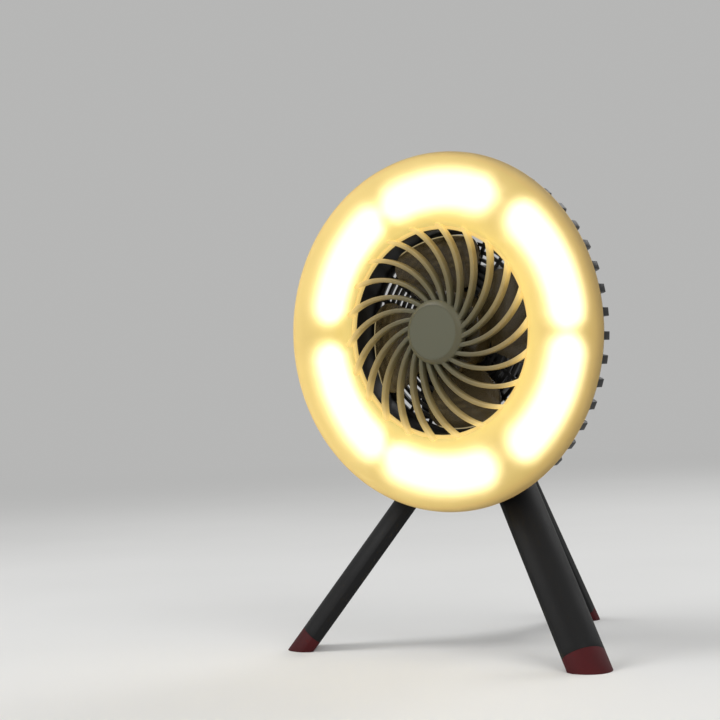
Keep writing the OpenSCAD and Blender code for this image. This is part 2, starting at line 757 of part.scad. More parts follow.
module tilt_pins() {
    inner_x = pod_w / 2 - boss_in - 0.6;
    outer_x = arm_x + yoke_t;
    color("silver") at_pivot() for (s = [-1, 1]) {
        translate([s * inner_x, 0, 0]) rotate([0, s * 90, 0]) cylinder(r = tilt_pin_r, h = outer_x - inner_x + 1);
        translate([s * outer_x, 0, 0]) rotate([0, s * 90, 0]) cylinder(r1 = tilt_pin_r + 2.5, r2 = tilt_pin_r + 1.5, h = pin_head_h);
    }
}

module tilt_washers() {
    color("white") at_pivot() for (s = [-1, 1]) translate([s * (pod_w / 2 + slip_gap), 0, 0]) rotate([0, s * 90, 0])
        difference() {
            cylinder(r = arm_r - 0.5, h = washer_t);
            translate([0, 0, -1]) cylinder(r = tilt_pin_r + 0.02, h = washer_t + 2);
        }
}

module at_leg(beta) {
    translate([0, tripod_y, 0]) rotate(beta) children();
}

module leg_hub() {
    color("dimgray") difference() {
        translate([0, tripod_y, hub_bottom]) cylinder(r = hub_r, h = hub_h);
        for (beta = leg_betas) at_leg(beta) {
            translate([core_r, -tongue_w / 2 - slip_gap, hub_bottom - 1]) cube([hub_r, tongue_w + 2 * slip_gap, hub_h + 2]);
            translate([hinge_r, -hub_r, hinge_z]) rotate([-90, 0, 0]) cylinder(r = leg_pin_r + 0.02, h = 2 * hub_r);
        }
        translate([0, tripod_y, hub_bottom - 1]) cylinder(r = bolt_r + 0.05, h = hub_h + 2);
    }
}

module hub_bolt() {
    color("silver") translate([0, tripod_y, hub_bottom]) difference() {
        union() {
            translate([0, 0, -3]) cylinder(r = 4.6, h = 3);
            cylinder(r = bolt_r, h = hub_h + yoke_t);
        }
        translate([0, 0, -4]) cylinder(r = 2.2, h = 2.6, $fn = 6);
    }
}

module leg_pins() {
    color("silver") for (beta = leg_betas) at_leg(beta)
        translate([hinge_r, -leg_pin_l / 2, hinge_z]) rotate([-90, 0, 0]) cylinder(r = leg_pin_r, h = leg_pin_l);
}

// Section of a leg: x points outwards, the outside is an arc. inset shrinks it all round.
module leg_section(inset) {
    half_w = leg_w / 2 - inset;
    back = -leg_t / 2 + inset;
    intersection() {
        translate([leg_t / 2 - leg_arc_r, 0]) circle(leg_arc_r - inset);
        polygon([[back, -half_w + leg_bevel], [back + leg_bevel, -half_w], [leg_t, -half_w],
            [leg_t, half_w], [back + leg_bevel, half_w], [back, half_w - leg_bevel]]);
    }
}

// Drawn hanging straight down from the hinge pin, then swung out to its open place.
module open_leg(beta) {
    at_leg(beta) translate([hinge_r, 0, hinge_z]) rotate([0, -leg_spread, 0]) children();
}

module leg_shape() {
    difference() {
        union() {
            rotate([-90, 0, 0]) translate([0, 0, -tongue_w / 2]) cylinder(r = barrel_r, h = tongue_w);
            translate([-barrel_r, -tongue_w / 2, -leg_top - 6]) cube([2 * barrel_r, tongue_w, leg_top + 6]);
            intersection() {
                translate([0, 0, -leg_end]) linear_extrude(leg_end - leg_top) leg_section(0);
                rotate([90, 0, 90]) translate([0, 0, -leg_t]) linear_extrude(2 * leg_t)
                    polygon([[-tongue_w / 2, -leg_top], [-leg_w / 2, -leg_top - 9], [-leg_w / 2, -leg_reach],
                        [leg_w / 2, -leg_reach], [leg_w / 2, -leg_top - 9], [tongue_w / 2, -leg_top]]);
            }
            translate([0, 0, -leg_end - core_l]) linear_extrude(core_l + 1) leg_section(1.6);
        }
        rotate([-90, 0, 0]) translate([0, 0, -leg_w]) cylinder(r = leg_pin_r + run_gap, h = 2 * leg_w);
        // Open channel on the inner side, with cross ribs left standing
        intersection() {
            translate([-leg_wall - 1, 0, -leg_end + 4]) linear_extrude(leg_end - leg_top - 16) leg_section(leg_wall);
            translate([-leg_t, -leg_w, -leg_end]) union() {
                for (z = [4:rib_pitch:leg_end - leg_top - 12])
                    translate([0, 0, z]) cube([2 * leg_t, 2 * leg_w, rib_pitch - 1.8]);
            }
        }
        translate([-leg_t - 1, 0, 0]) intersection() {
            translate([0, 0, -leg_end + 4]) linear_extrude(leg_end - leg_top - 16)
                square([leg_t + 4, leg_w - 2 * leg_wall - 2 * leg_bevel], center = true);
            translate([-leg_t, -leg_w, -leg_end]) union() {
                for (z = [4:rib_pitch:leg_end - leg_top - 12])
                    translate([0, 0, z]) cube([3 * leg_t, 2 * leg_w, rib_pitch - 1.8]);
            }
        }
    }
}

module leg(beta) {
    color("dimgray") open_leg(beta) leg_shape();
}

module foot(beta) {
    reach = leg_reach + leg_t;
    color("darkred") difference() {
        open_leg(beta) difference() {
            translate([0, 0, -reach]) linear_extrude(reach - leg_end) leg_section(0);
            translate([0, 0, -leg_end - core_l - seat_gap]) linear_extrude(core_l + 1 + seat_gap) leg_section(1.6 - 0.05);
        }
        at_leg(beta) translate([0, -leg_w, -2 * leg_t]) cube([2 * leg_reach, 2 * leg_w, 2 * leg_t]);
    }
}

module leg_right() {
    leg(leg_betas[0]);
}

module leg_left() {
    leg(leg_betas[1]);
}

module leg_rear() {
    leg(leg_betas[2]);
}

module foot_right() {
    foot(leg_betas[0]);
}

module foot_left() {
    foot(leg_betas[1]);
}

module foot_rear() {
    foot(leg_betas[2]);
}

light_diffuser();
front_grille();
centre_disc();
light_tray();
light_segments();
light_chips();
rear_housing();
intake_guard();
housing_screws();
motor_base();
stator_core();
stator_coils();
motor_bearings();
motor_shaft();
rotor_can();
rotor_magnet();
impeller();
shaft_nut();
pod_body();
pod_gasket();
pod_cover();
pod_screws();
battery_cells();
cell_holder();
control_board();
push_switches();
charge_socket();
indicator_lens();
fan_button();
light_button();
port_flap();
hanging_loop();
yoke();
tilt_pins();
tilt_washers();
leg_hub();
hub_bolt();
leg_pins();
leg_left();
leg_right();
leg_rear();
foot_left();
foot_right();
foot_rear();
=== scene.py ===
# %% [markdown]
# # A camping fan with a ring light
#
# The model of this fan comes from CAD, where every part has its true size and its joints.
# Here it gets its looks. The parts that are seen best are modelled again with rounded edges
# and even surfaces, and every part gets a material built from nodes.

import json
import math

import bmesh
import bpy
from mathutils import Matrix, Vector


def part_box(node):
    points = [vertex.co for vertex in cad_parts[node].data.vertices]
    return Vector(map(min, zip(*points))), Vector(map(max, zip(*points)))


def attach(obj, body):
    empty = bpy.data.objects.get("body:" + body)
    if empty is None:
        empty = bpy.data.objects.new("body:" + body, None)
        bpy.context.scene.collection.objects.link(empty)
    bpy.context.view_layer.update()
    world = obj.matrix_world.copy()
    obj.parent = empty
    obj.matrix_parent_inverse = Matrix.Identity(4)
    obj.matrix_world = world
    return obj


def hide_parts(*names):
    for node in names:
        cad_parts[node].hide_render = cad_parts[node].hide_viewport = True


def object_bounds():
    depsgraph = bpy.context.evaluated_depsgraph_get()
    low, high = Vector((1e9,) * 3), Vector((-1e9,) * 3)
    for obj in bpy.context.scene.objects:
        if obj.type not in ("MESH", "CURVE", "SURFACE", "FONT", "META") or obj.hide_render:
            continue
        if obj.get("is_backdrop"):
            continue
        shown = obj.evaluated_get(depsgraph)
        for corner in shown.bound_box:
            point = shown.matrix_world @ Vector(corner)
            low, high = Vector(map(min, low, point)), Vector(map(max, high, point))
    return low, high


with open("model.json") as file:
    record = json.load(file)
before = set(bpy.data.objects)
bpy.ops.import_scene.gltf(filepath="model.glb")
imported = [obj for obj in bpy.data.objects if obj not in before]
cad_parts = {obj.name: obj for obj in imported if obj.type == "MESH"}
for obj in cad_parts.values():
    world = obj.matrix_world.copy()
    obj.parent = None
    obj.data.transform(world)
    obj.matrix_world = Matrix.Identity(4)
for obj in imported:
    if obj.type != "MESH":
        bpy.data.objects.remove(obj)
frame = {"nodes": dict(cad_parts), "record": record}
cad_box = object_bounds()
nodes = frame["nodes"]
print("CAD box, mm:", [[round(v * 1000, 1) for v in corner] for corner in cad_box])

# %% [markdown]
# ## The fan's own measures
#
# The CAD works in millimetres and Blender in metres, so every length is written as
# millimetres times `MM`. The head has its own axes: `x` to the right, `y` up, and `a`, the
# distance in front of the rim plane, where the ring light meets the black back.

# %% Measures that the pieces share
MM = 0.001

RING_R = 100.0          # outside of the ring light
TUBE_R = 21.0           # its half-round section
TUBE_C = RING_R - TUBE_R

rim_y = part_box("light_diffuser")[0].y / MM + TUBE_R
head_z = (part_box("light_diffuser")[0].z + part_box("light_diffuser")[1].z) / 2 / MM
print("rim plane at y", round(rim_y, 2), "head centre at z", round(head_z, 2))


def at_head(x, y, a):
    """A point of the head's own axes, in millimetres, as a place in the scene."""
    return Vector((x, rim_y - a, head_z + y)) * MM


# %% [markdown]
# ## The camera
#
# The fan is seen from a little to its left, almost level, with a long lens. The camera looks
# past the fan's centre, because the fan stands right of and above the middle of the frame, and
# it is rolled by two degrees.

# %% Camera
CAMERA_TURN = math.radians(35.8)
CAMERA_PITCH = math.radians(-0.52)
CAMERA_ROLL = math.radians(2.24)
CAMERA_FAR = 949.0
CAMERA_ASIDE = (46.2, 15.5)     # head centre, right of and above the optical axis
CAMERA_LENS = 85.4
CAMERA_SENSOR = 36.0            # width


def add_camera():
    """A camera that looks along the turned, pitched and rolled direction, past the head's centre."""
    right = Vector((math.cos(CAMERA_TURN), math.sin(CAMERA_TURN), 0))
    away = Vector((-math.sin(CAMERA_TURN), math.cos(CAMERA_TURN), 0))
    up = Vector((0, 0, 1))
    look = away * math.cos(CAMERA_PITCH) - up * math.sin(CAMERA_PITCH)
    top = away * math.sin(CAMERA_PITCH) + up * math.cos(CAMERA_PITCH)
    side = right * math.cos(CAMERA_ROLL) - top * math.sin(CAMERA_ROLL)
    crown = right * math.sin(CAMERA_ROLL) + top * math.cos(CAMERA_ROLL)
    spot = at_head(0, 0, 0) - (side * CAMERA_ASIDE[0] + crown * CAMERA_ASIDE[1] + look * CAMERA_FAR) * MM
    bpy.ops.object.camera_add(location=spot)
    camera = bpy.context.object
    camera.matrix_world = Matrix.Translation(spot) @ Matrix((side, crown, -look)).transposed().to_4x4()
    camera.data.lens = CAMERA_LENS
    camera.data.sensor_width = CAMERA_SENSOR
    camera.data.clip_start = 0.01
    camera.data.clip_end = 20
    bpy.context.scene.camera = camera
    return camera


camera = add_camera()
print("camera at", [round(v, 3) for v in camera.location], "m")

# %% [markdown]
# ## Building materials from nodes
#
# Every finish starts from the Principled shader. A small helper adds a node and sets its
# inputs by name, so that each recipe below reads as a list of what feeds what.

# %% Helpers for node materials
def linear(r, g, b):
    """A colour given as 0 to 255, as a screen shows it, in the linear values that shaders use."""
    def one(v):
        v = v / 255
        return v / 12.92 if v <= 0.04045 else ((v + 0.055) / 1.055) ** 2.4
    return (one(r), one(g), one(b), 1.0)


class Recipe:
    """A material with its node tree at hand."""

    def __init__(self, name):
        self.material = bpy.data.materials.new(name)
        self.material.use_nodes = True
        self.tree = self.material.node_tree
        self.shader = self.tree.nodes["Principled BSDF"]
        self.place = self.tree.nodes.new("ShaderNodeTexCoord").outputs["Object"]

    def add(self, kind, inputs=None, **settings):
        """A new node, with its inputs fed and its settings made."""
        node = self.tree.nodes.new("ShaderNode" + kind)
        for key, value in settings.items():
            setattr(node, key, value)
        for key, value in (inputs or {}).items():
            self.feed(node.inputs[key], value)
        return node

    def feed(self, socket, value):
        """Links another node's output to a socket, or sets the socket's own value."""
        if isinstance(value, bpy.types.NodeSocket):
            self.tree.links.new(value, socket)
        else:
            socket.default_value = value

    def set(self, **inputs):
        """Feeds the shader's inputs by name: base_color is Base Color, and ior is IOR."""
        for key, value in inputs.items():
            name = key.replace("_", " ").title().replace("Ior", "IOR")
            self.feed(self.shader.inputs[name], value)

    def noise(self, scale, detail=3.0, rough=0.5, place=None):
        node = self.add("TexNoise", {"Vector": place or self.place, "Scale": scale, "Detail": detail,
                                     "Roughness": rough})
        return node.outputs["Fac"]

    def ramp(self, factor, *stops):
        """A colour ramp; each stop is (position, colour)."""
        node = self.add("ValToRGB", {"Fac": factor})
        bar = node.color_ramp
        while len(bar.elements) < len(stops):
            bar.elements.new(0.5)
        for element, (position, colour) in zip(bar.elements, stops):
            element.position = position
            element.color = colour
        return node.outputs["Color"]

    def span(self, value, low, high, to_low, to_high):
        """Turns the range from low to high into the range from to_low to to_high."""
        node = self.add("MapRange", {"Value": value, "From Min": low, "From Max": high,
                                     "To Min": to_low, "To Max": to_high})
        return node.outputs["Result"]

    def math(self, operation, first, second=0.0):
        return self.add("Math", {0: first, 1: second}, operation=operation).outputs[0]

    def mix(self, factor, first, second, blend="MIX"):
        node = self.add("Mix", data_type="RGBA", blend_type=blend)
        self.feed(node.inputs[0], factor)
        self.feed(node.inputs[6], first)
        self.feed(node.inputs[7], second)
        return node.outputs[2]

    def bump(self, height, strength, depth):
        node = self.add("Bump", {"Height": height, "Strength": strength, "Distance": depth})
        return node.outputs["Normal"]


def tint(colour, factor):
    """A colour made darker or lighter."""
    return (colour[0] * factor, colour[1] * factor, colour[2] * factor, 1.0)


# %% [markdown]
# ## Moulded plastic
#
# Moulded plastic is never one flat colour. The mould leaves a fine grain, the gloss wanders a
# little, and there is a faint cloudiness in the colour. One recipe makes all of the opaque
# plastics, with the grain's size, the gloss and the shine set for each. Black and dark red
# parts get little shine, because the room's reflection would turn them grey.

# %% Plastics
def moulded(name, colour, rough=0.45, grain=0.25, grain_size=2600, cloud=0.12, shine=0.5):
    """Plastic with clouds and flecks in its colour, a fine grain and a wandering gloss."""
    r = Recipe(name)
    clouds = r.noise(38, detail=4)
    fine = r.noise(grain_size, detail=2, rough=0.6)
    specks = r.noise(420, detail=5, rough=0.65)
    tone = r.ramp(clouds, (0.3, tint(colour, 1 - cloud)), (0.7, tint(colour, 1 + cloud)))
    flecks = r.ramp(specks, (0.35, (0.9, 0.9, 0.9, 1)), (0.7, (1.06, 1.06, 1.06, 1)))
    r.set(base_color=r.mix(0.6, tone, flecks, "MULTIPLY"), ior=1.5, specular_ior_level=shine,
          roughness=r.span(clouds, 0.3, 0.7, rough - 0.06, rough + 0.06), normal=r.bump(fine, grain, 0.0002))
    return r


plastic_black = moulded("back_plastic", linear(24, 24, 25), rough=0.48, grain=0.35, shine=0.35)
plastic_legs = moulded("leg_plastic", linear(15, 15, 16), rough=0.55, grain=0.4, grain_size=2200, shine=0.22)
plastic_white = moulded("tray_plastic", linear(238, 237, 232), rough=0.35, grain=0.1)
plastic_red = moulded("button_red", linear(150, 30, 34), rough=0.4, grain=0.2)
plastic_grey = moulded("button_grey", linear(178, 178, 174), rough=0.4, grain=0.2)
rubber_red = moulded("foot_rubber", linear(68, 8, 13), rough=0.62, grain=0.5, grain_size=1500, cloud=0.16,
                     shine=0.22)
rubber_black = moulded("seal_rubber", linear(34, 34, 35), rough=0.7, grain=0.5, grain_size=1500)
green_board = moulded("circuit_board", linear(18, 92, 52), rough=0.35, grain=0.1)
cell_wrap = moulded("cell_wrap", linear(40, 92, 176), rough=0.28, grain=0.05)
print("materials so far:", len(bpy.data.materials))

# %% [markdown]
# ## Metals
#
# The shaft, screws and wire loop are plain steel, turned or drawn, so their fine scratches run
# one way. A noise pattern that is squeezed along one axis gives that brushed look.

# %% Metals
def drawn_metal(name, colour, rough=0.28, squeeze=(1, 1, 14), scratch=0.15):
    """Metal with fine scratches across the axis along which the noise is squeezed."""
    r = Recipe(name)
    along = r.add("Mapping", {"Vector": r.place, "Scale": squeeze}).outputs["Vector"]
    lines = r.noise(300, detail=4, rough=0.6, place=along)
    stains = r.noise(60)
    tone = r.ramp(stains, (0.3, tint(colour, 0.88)), (0.75, tint(colour, 1.06)))
    r.set(base_color=tone, metallic=1.0, roughness=r.span(lines, 0.3, 0.7, rough - 0.08, rough + 0.1),
          normal=r.bump(lines, scratch, 0.0001))
    return r


steel = drawn_metal("plain_steel", linear(188, 188, 190))
steel_black = drawn_metal("blackened_steel", linear(64, 64, 67), rough=0.4)
core_steel = drawn_metal("stator_sheets", linear(130, 132, 138), rough=0.4, squeeze=(1, 30, 1), scratch=0.5)
magnet = drawn_metal("magnet_ring", linear(70, 70, 74), rough=0.5)
copper = drawn_metal("copper_wire", linear(196, 112, 64), rough=0.3, squeeze=(30, 1, 1), scratch=0.6)
print("materials so far:", len(bpy.data.materials))

# %% [markdown]
# ## Places on the head
#
# The glow changes with the distance from the fan's axis, as light spreads in milky plastic, and
# the grille's tones and its painted light from the ring change with it too. Object coordinates
# are used: they are the scene's own, because every piece has its origin there, and taking away
# the head's centre gives the head's axes.

# %% Axes of the head, inside a material
def head_axes(r):
    """The distance from the fan's axis, the turn about it, and the depth behind the rim plane."""
    local = r.add("Mapping", {"Vector": r.place, "Location": tuple(-v for v in at_head(0, 0, 0))},
                  vector_type="POINT").outputs["Vector"]
    x, depth, y = r.add("SeparateXYZ", {"Vector": local}).outputs
    radius = r.math("SQRT", r.math("ADD", r.math("MULTIPLY", x, x), r.math("MULTIPLY", y, y)))
    return radius, r.math("ARCTAN2", y, x), depth


print("the head's axes start at", [round(v, 4) for v in at_head(0, 0, 0)], "m")

# %% [markdown]
# ## Milky grille and smoky blades
#
# The grille is milky too, and it is plugged into the light. The ring light falls on its ring
# and the ends of its ribs, and that light is painted on them as a warm cream glow and a lighter
# tone, which die away towards the boss. The blades are smoky and let some of the light through,
# and a thin painted highlight, given as a glow, runs along their outer edges.

# %% Grille plastic and blades
LIT_R = 60.0            # where the ribs plug into the light


def milky(name, centre, middle_way, rim, painted_glow_strength=1.0):
    """Milky plastic in three tones from the centre outwards, with painted light from the ring: lighter tones
    and a painted glow towards the rim.
    """
    r = moulded(name, centre, rough=0.42, grain=0.08, cloud=0.03, shine=0.35)
    radius, _, _ = head_axes(r)
    way = r.math("DIVIDE", radius, LIT_R * MM)
    # Painted light: the ring light falling on the grille, painted as tones that lighten and a glow that grows
    # towards the rim
    body = r.ramp(way, (0.28, centre), (0.5, middle_way), (0.96, rim))
    lit = r.ramp(way, (0.35, (0, 0, 0, 1)), (0.6, linear(44, 37, 20)), (0.84, linear(98, 82, 45)),
                 (0.92, linear(168, 143, 84)), (0.965, linear(214, 184, 108)))
    r.set(base_color=body, emission_color=lit, emission_strength=painted_glow_strength, subsurface_weight=0.2,
          subsurface_radius=(0.004, 0.003, 0.002))
    return r


grille_plastic = milky("grille_plastic", linear(94, 92, 73), linear(104, 96, 69), linear(152, 134, 92))
disc_tone = linear(98, 98, 81)
disc_plastic = milky("disc_plastic", disc_tone, disc_tone, disc_tone, painted_glow_strength=0.0)


def smoky(name, colour, highlight_from, highlight_to):
    """Smoky plastic with a painted highlight, given as a glow, on its outer edge between two radii."""
    r = Recipe(name)
    radius, _, _ = head_axes(r)
    tone = r.ramp(r.noise(14, detail=2), (0.3, tint(colour, 0.94)), (0.7, tint(colour, 1.05)))
    # Painted highlight: a cream glow on the blades' outer edge stands for the ring light caught there
    edge = r.mix(r.span(radius, highlight_from * MM, highlight_to * MM, 0.0, 1.0), (0, 0, 0, 1), linear(150, 138, 106))
    r.set(base_color=tone, roughness=0.24, normal=r.bump(r.noise(900), 0.015, 0.0001), emission_color=edge,
          emission_strength=1.0, transmission_weight=0.55, ior=1.45)
    return r


def clear_green():
    """The small lens on the pod."""
    r = Recipe("lens_plastic")
    tone = r.ramp(r.noise(60), (0.3, linear(90, 190, 110)), (0.7, linear(120, 220, 140)))
    r.set(base_color=tone, roughness=0.15, transmission_weight=0.5)
    return r


blade_plastic = smoky("blade_plastic", linear(112, 99, 70), highlight_from=53.6, highlight_to=54.1)
lens_plastic = clear_green()
print("materials so far:", len(bpy.data.materials))

# %% [markdown]
# ## The glow
#
# Six boards of light diodes stand behind a milky half-round wall. The wall has two finishes in
# one: its outside gives off the warm light that spreads inside the plastic, dimmer towards both
# edges, and it lets most of the light behind it through, blurred. So the boards show through it
# as six soft white bars, and they shift behind the wall as the fan is turned, as real ones do.

# %% Milky wall
GLOW_DEEP = 1.1         # the glow of the wall starts this deep under its outside, in millimetres
GLOW_FULL = 0.5         # and is full from this depth outwards


def glow():
    """The wall's plastic: warm light on its outside, and clear enough to show the boards."""
    r = Recipe("milky_glow")
    radius, _, depth = head_axes(r)
    off = r.math("SUBTRACT", radius, TUBE_C * MM)
    # Where on the half tube: 0 at the outer rim, 1 at the same height inside
    section = r.math("DIVIDE", r.math("ARCTAN2", r.math("MULTIPLY", depth, -1.0), off), math.pi)
    skin = r.ramp(section, (0.0, linear(141, 110, 56)), (0.083, linear(167, 134, 69)),
                  (0.139, linear(195, 162, 87)), (0.2, linear(216, 185, 103)), (0.29, linear(226, 196, 114)),
                  (0.5, linear(238, 207, 118)), (0.8, linear(255, 224, 122)), (0.861, linear(255, 228, 132)),
                  (0.92, linear(250, 222, 132)))
    skin = r.mix(1.0, skin, r.span(r.noise(60), 0.3, 0.7, 0.97, 1.0), "MULTIPLY")
    # Only the outside glows, so that the light inside comes from the boards
    tube = r.math("SQRT", r.math("ADD", r.math("MULTIPLY", off, off), r.math("MULTIPLY", depth, depth)))
    outside = r.span(tube, (TUBE_R - GLOW_DEEP) * MM, (TUBE_R - GLOW_FULL) * MM, 0.0, 1.0)
    r.set(base_color=linear(190, 178, 138), roughness=0.66, emission_color=r.mix(outside, (0, 0, 0, 1), skin),
          emission_strength=0.6, transmission_weight=0.7, ior=1.2)
    return r


glow_plastic = glow()
print("nodes in the milky wall:", len(glow_plastic.tree.nodes))

# %% [markdown]
# ## The boards behind it
#
# A board is brightest along its row of diodes and fades to its edges and its ends. That is
# worked out from the distance to the row: zero all along the row, and growing sideways and past
# its ends. Smoothstep turns the distance into a soft edge. The white tray under the boards
# takes the same glowing finish, which is painted light there: it stands for the boards' light
# that the tray throws back where two boards meet.

# %% Glowing boards
BOARD_COUNT = 6
ROW_TURN = math.radians(2)      # the rows lie this much clockwise of their boards
ROW_HALF = 27.2                 # half of a row of diodes, in millimetres
ROW_SHIFT = 2.2                 # rows end nearer to every second joint by this much
ROW_CORE = 7.0                  # full light up to this distance from a row
ROW_FADE = 13.5                 # and none from this distance on


def glowing_board():
    """The boards' finish, bright near their rows of diodes."""
    r = Recipe("glowing_board")
    radius, turn, _ = head_axes(r)
    turn = r.math("ADD", turn, ROW_TURN)
    sector = math.tau / BOARD_COUNT
    within = r.math("FLOORED_MODULO", turn, sector)
    off_middle = r.math("ABSOLUTE", r.math("SUBTRACT", within, sector / 2))
    # One wave over two boards, so that the rows end nearer to every second joint
    shift = r.math("MULTIPLY", r.math("COSINE", r.math("MULTIPLY", turn, BOARD_COUNT / 2)), ROW_SHIFT)
    row = r.math("ADD", shift, ROW_HALF)
    along = r.math("MAXIMUM", r.math("SUBTRACT", r.math("MULTIPLY", off_middle, TUBE_C), row), 0.0)
    across = r.math("MULTIPLY", r.math("ABSOLUTE", r.math("SUBTRACT", radius, TUBE_C * MM)), 1 / MM)
    far = r.math("SQRT", r.math("ADD", r.math("MULTIPLY", along, along), r.math("MULTIPLY", across, across)))
    soft_edge = {"Value": far, "From Min": ROW_CORE, "From Max": ROW_FADE, "To Min": 1.0, "To Max": 0.0}
    row_light = r.add("MapRange", soft_edge, interpolation_type="SMOOTHSTEP").outputs["Result"]
    r.set(base_color=linear(120, 116, 100), roughness=0.5,
          emission_color=r.mix(row_light, (0, 0, 0, 1), (1, 1, 1, 1)), emission_strength=9.5)
    return r


board_glow = glowing_board()
print("boards:", BOARD_COUNT, "with rows of", 2 * ROW_HALF, "mm")

# %% [markdown]
# ## The parts that keep their CAD shape
#
# Motor, cells, circuit board, bolts and pins have their true shape already. They are painted by
# their slot: the record says which material slot each part has, and a dictionary gives each
# slot its finish. Filling the whole list this way leaves no part out.

# %% Materials for the CAD nodes
finish_of_slot = {
    "diffuser": glow_plastic, "grille_plastic": grille_plastic, "white_plastic": plastic_white,
    "light_board": board_glow, "light_chip": board_glow, "black_plastic": plastic_black,
    "leg_plastic": plastic_legs, "blade_plastic": blade_plastic, "red_rubber": rubber_red,
    "black_rubber": rubber_black, "steel": steel, "dark_steel": steel_black, "core_steel": core_steel,
    "magnet": magnet, "copper": copper, "cell_wrap": cell_wrap, "board_green": green_board,
    "button_red": plastic_red, "button_grey": plastic_grey, "lens": lens_plastic,
}
# The white tray gets the boards' glowing finish: painted light, standing for the boards' light that it throws
# back
finish_of_node = {"light_tray": board_glow}
for part in frame["record"]["subparts"]:
    piece = nodes[part["node"]]
    finish = finish_of_node.get(part["node"], finish_of_slot[part["material_slot"]])
    piece.data.materials.clear()
    piece.data.materials.append(finish.material)
print("finishes on", len(nodes), "CAD parts")

# %% [markdown]
# ## Working by hand, in code
#
# Each piece below is made as a person would at the screen: add a primitive, go into edit mode,
# select some faces, and extrude, inset, bevel, spin or cut them. An operator acts on all that
# is selected, so the helpers first let go of everything, and then pick faces or edges by where
# they lie or which way they face.

# %% Helpers for selecting
NEAR = 0.01             # places nearer than this, in millimetres, count as the same


def let_go():
    """Leaves edit mode and selects nothing."""
    if bpy.context.object and bpy.context.object.mode == "EDIT":
        bpy.ops.object.mode_set(mode="OBJECT")
    bpy.ops.object.select_all(action="DESELECT")


def hold(piece):
    """Selects one piece alone and makes it the active one."""
    let_go()
    piece.select_set(True)
    bpy.context.view_layer.objects.active = piece


def edit(piece):
    """Edit mode with everything selected. Points come first, as bare edges have no face to select."""
    hold(piece)
    bpy.ops.object.mode_set(mode="EDIT")
    bpy.ops.mesh.select_mode(type="VERT")
    bpy.ops.mesh.select_all(action="SELECT")


def pick(piece, test, kind="FACE"):
    """In edit mode, selects the faces or edges that pass a test."""
    bpy.ops.mesh.select_mode(type=kind)
    bpy.ops.mesh.select_all(action="DESELECT")
    mesh = bmesh.from_edit_mesh(piece.data)
    items = mesh.faces if kind == "FACE" else mesh.edges
    for item in [item for item in items if test(item)]:
        item.select_set(True)
    bmesh.update_edit_mesh(piece.data)


def middle(item):
    """The middle of a face or an edge, in millimetres."""
    if hasattr(item, "calc_center_median"):
        return item.calc_center_median() / MM
    return (item.verts[0].co + item.verts[1].co) / 2 / MM


# %% Helpers for shaping
SNAP = 1e-7             # a point this near to a cutting plane, in metres, counts as on it
MERGE = 1e-6            # and points this near to each other become one


def apply_place(piece):
    """Writes the place, turn and scale into the mesh, so that the object sits at the origin."""
    hold(piece)
    bpy.ops.object.transform_apply(location=True, rotation=True, scale=True)


def cut(piece, point, normal, fill=True):
    """Cuts with a plane and removes what lies on the normal's side."""
    edit(piece)
    bpy.ops.mesh.bisect(plane_co=[v * MM for v in point], plane_no=normal, use_fill=fill, clear_outer=True,
                        threshold=SNAP)
    bpy.ops.object.mode_set(mode="OBJECT")


def score(point, normal):
    """In edit mode, cuts every face along a plane and keeps both sides."""
    bpy.ops.mesh.select_all(action="SELECT")
    bpy.ops.mesh.bisect(plane_co=[v * MM for v in point], plane_no=normal, threshold=SNAP)


def tidy_mesh(piece):
    """Merges doubled points and turns all faces outwards."""
    edit(piece)
    bpy.ops.mesh.remove_doubles(threshold=MERGE)
    bpy.ops.mesh.select_all(action="SELECT")
    bpy.ops.mesh.normals_make_consistent(inside=False)
    bpy.ops.object.mode_set(mode="OBJECT")


def modify(piece, kind, **settings):
    """Adds a modifier, sets it and applies it."""
    hold(piece)
    bpy.ops.object.modifier_add(type=kind)
    modifier = piece.modifiers[-1]
    for key, value in settings.items():
        setattr(modifier, key, value)
    bpy.ops.object.modifier_apply(modifier=modifier.name)


def soften(piece, width, segments=3, angle=32):
    """Rounds every edge that is sharper than the angle, as a mould does."""
    modify(piece, "BEVEL", width=width * MM, segments=segments, limit_method="ANGLE",
           angle_limit=math.radians(angle), use_clamp_overlap=True, miter_outer="MITER_ARC")


# %% Helpers for placing and naming
def to_head(piece):
    """Takes a piece from its drawing axes (x, y, a) to its place on the head."""
    piece.rotation_euler = (math.radians(90), 0, 0)
    piece.location = at_head(0, 0, 0)
    apply_place(piece)


def finished(piece, name, finish, body, slot, *replaced, smooth=40):
    """Names a piece, gives it its finish, ties it to its body and hides the CAD parts that it replaces."""
    tidy_mesh(piece)
    hold(piece)
    bpy.ops.object.shade_smooth_by_angle(angle=math.radians(smooth))
    piece.name = name
    piece.data.name = name
    piece.data.materials.clear()
    piece.data.materials.append(finish.material)
    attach(piece, body)
    if replaced:
        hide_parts(*replaced)
    size = [round(v / MM, 1) for v in piece.dimensions]
    print(name, size, "mm,", len(piece.data.polygons), "faces")


# %% [markdown]
# ## The ring light
#
# The lit ring is half a tube, bent to a circle, with a wall of milky plastic. A torus is that
# tube ready made. It is cut in half along the rim plane, its inner edge is trimmed a little
# higher, where the grille plugs in, and Solidify gives it its wall.

# %% Glowing half tube
WALL = 1.8              # wall of the milky plastic
LIP_A = 5.5             # height of its inner edge

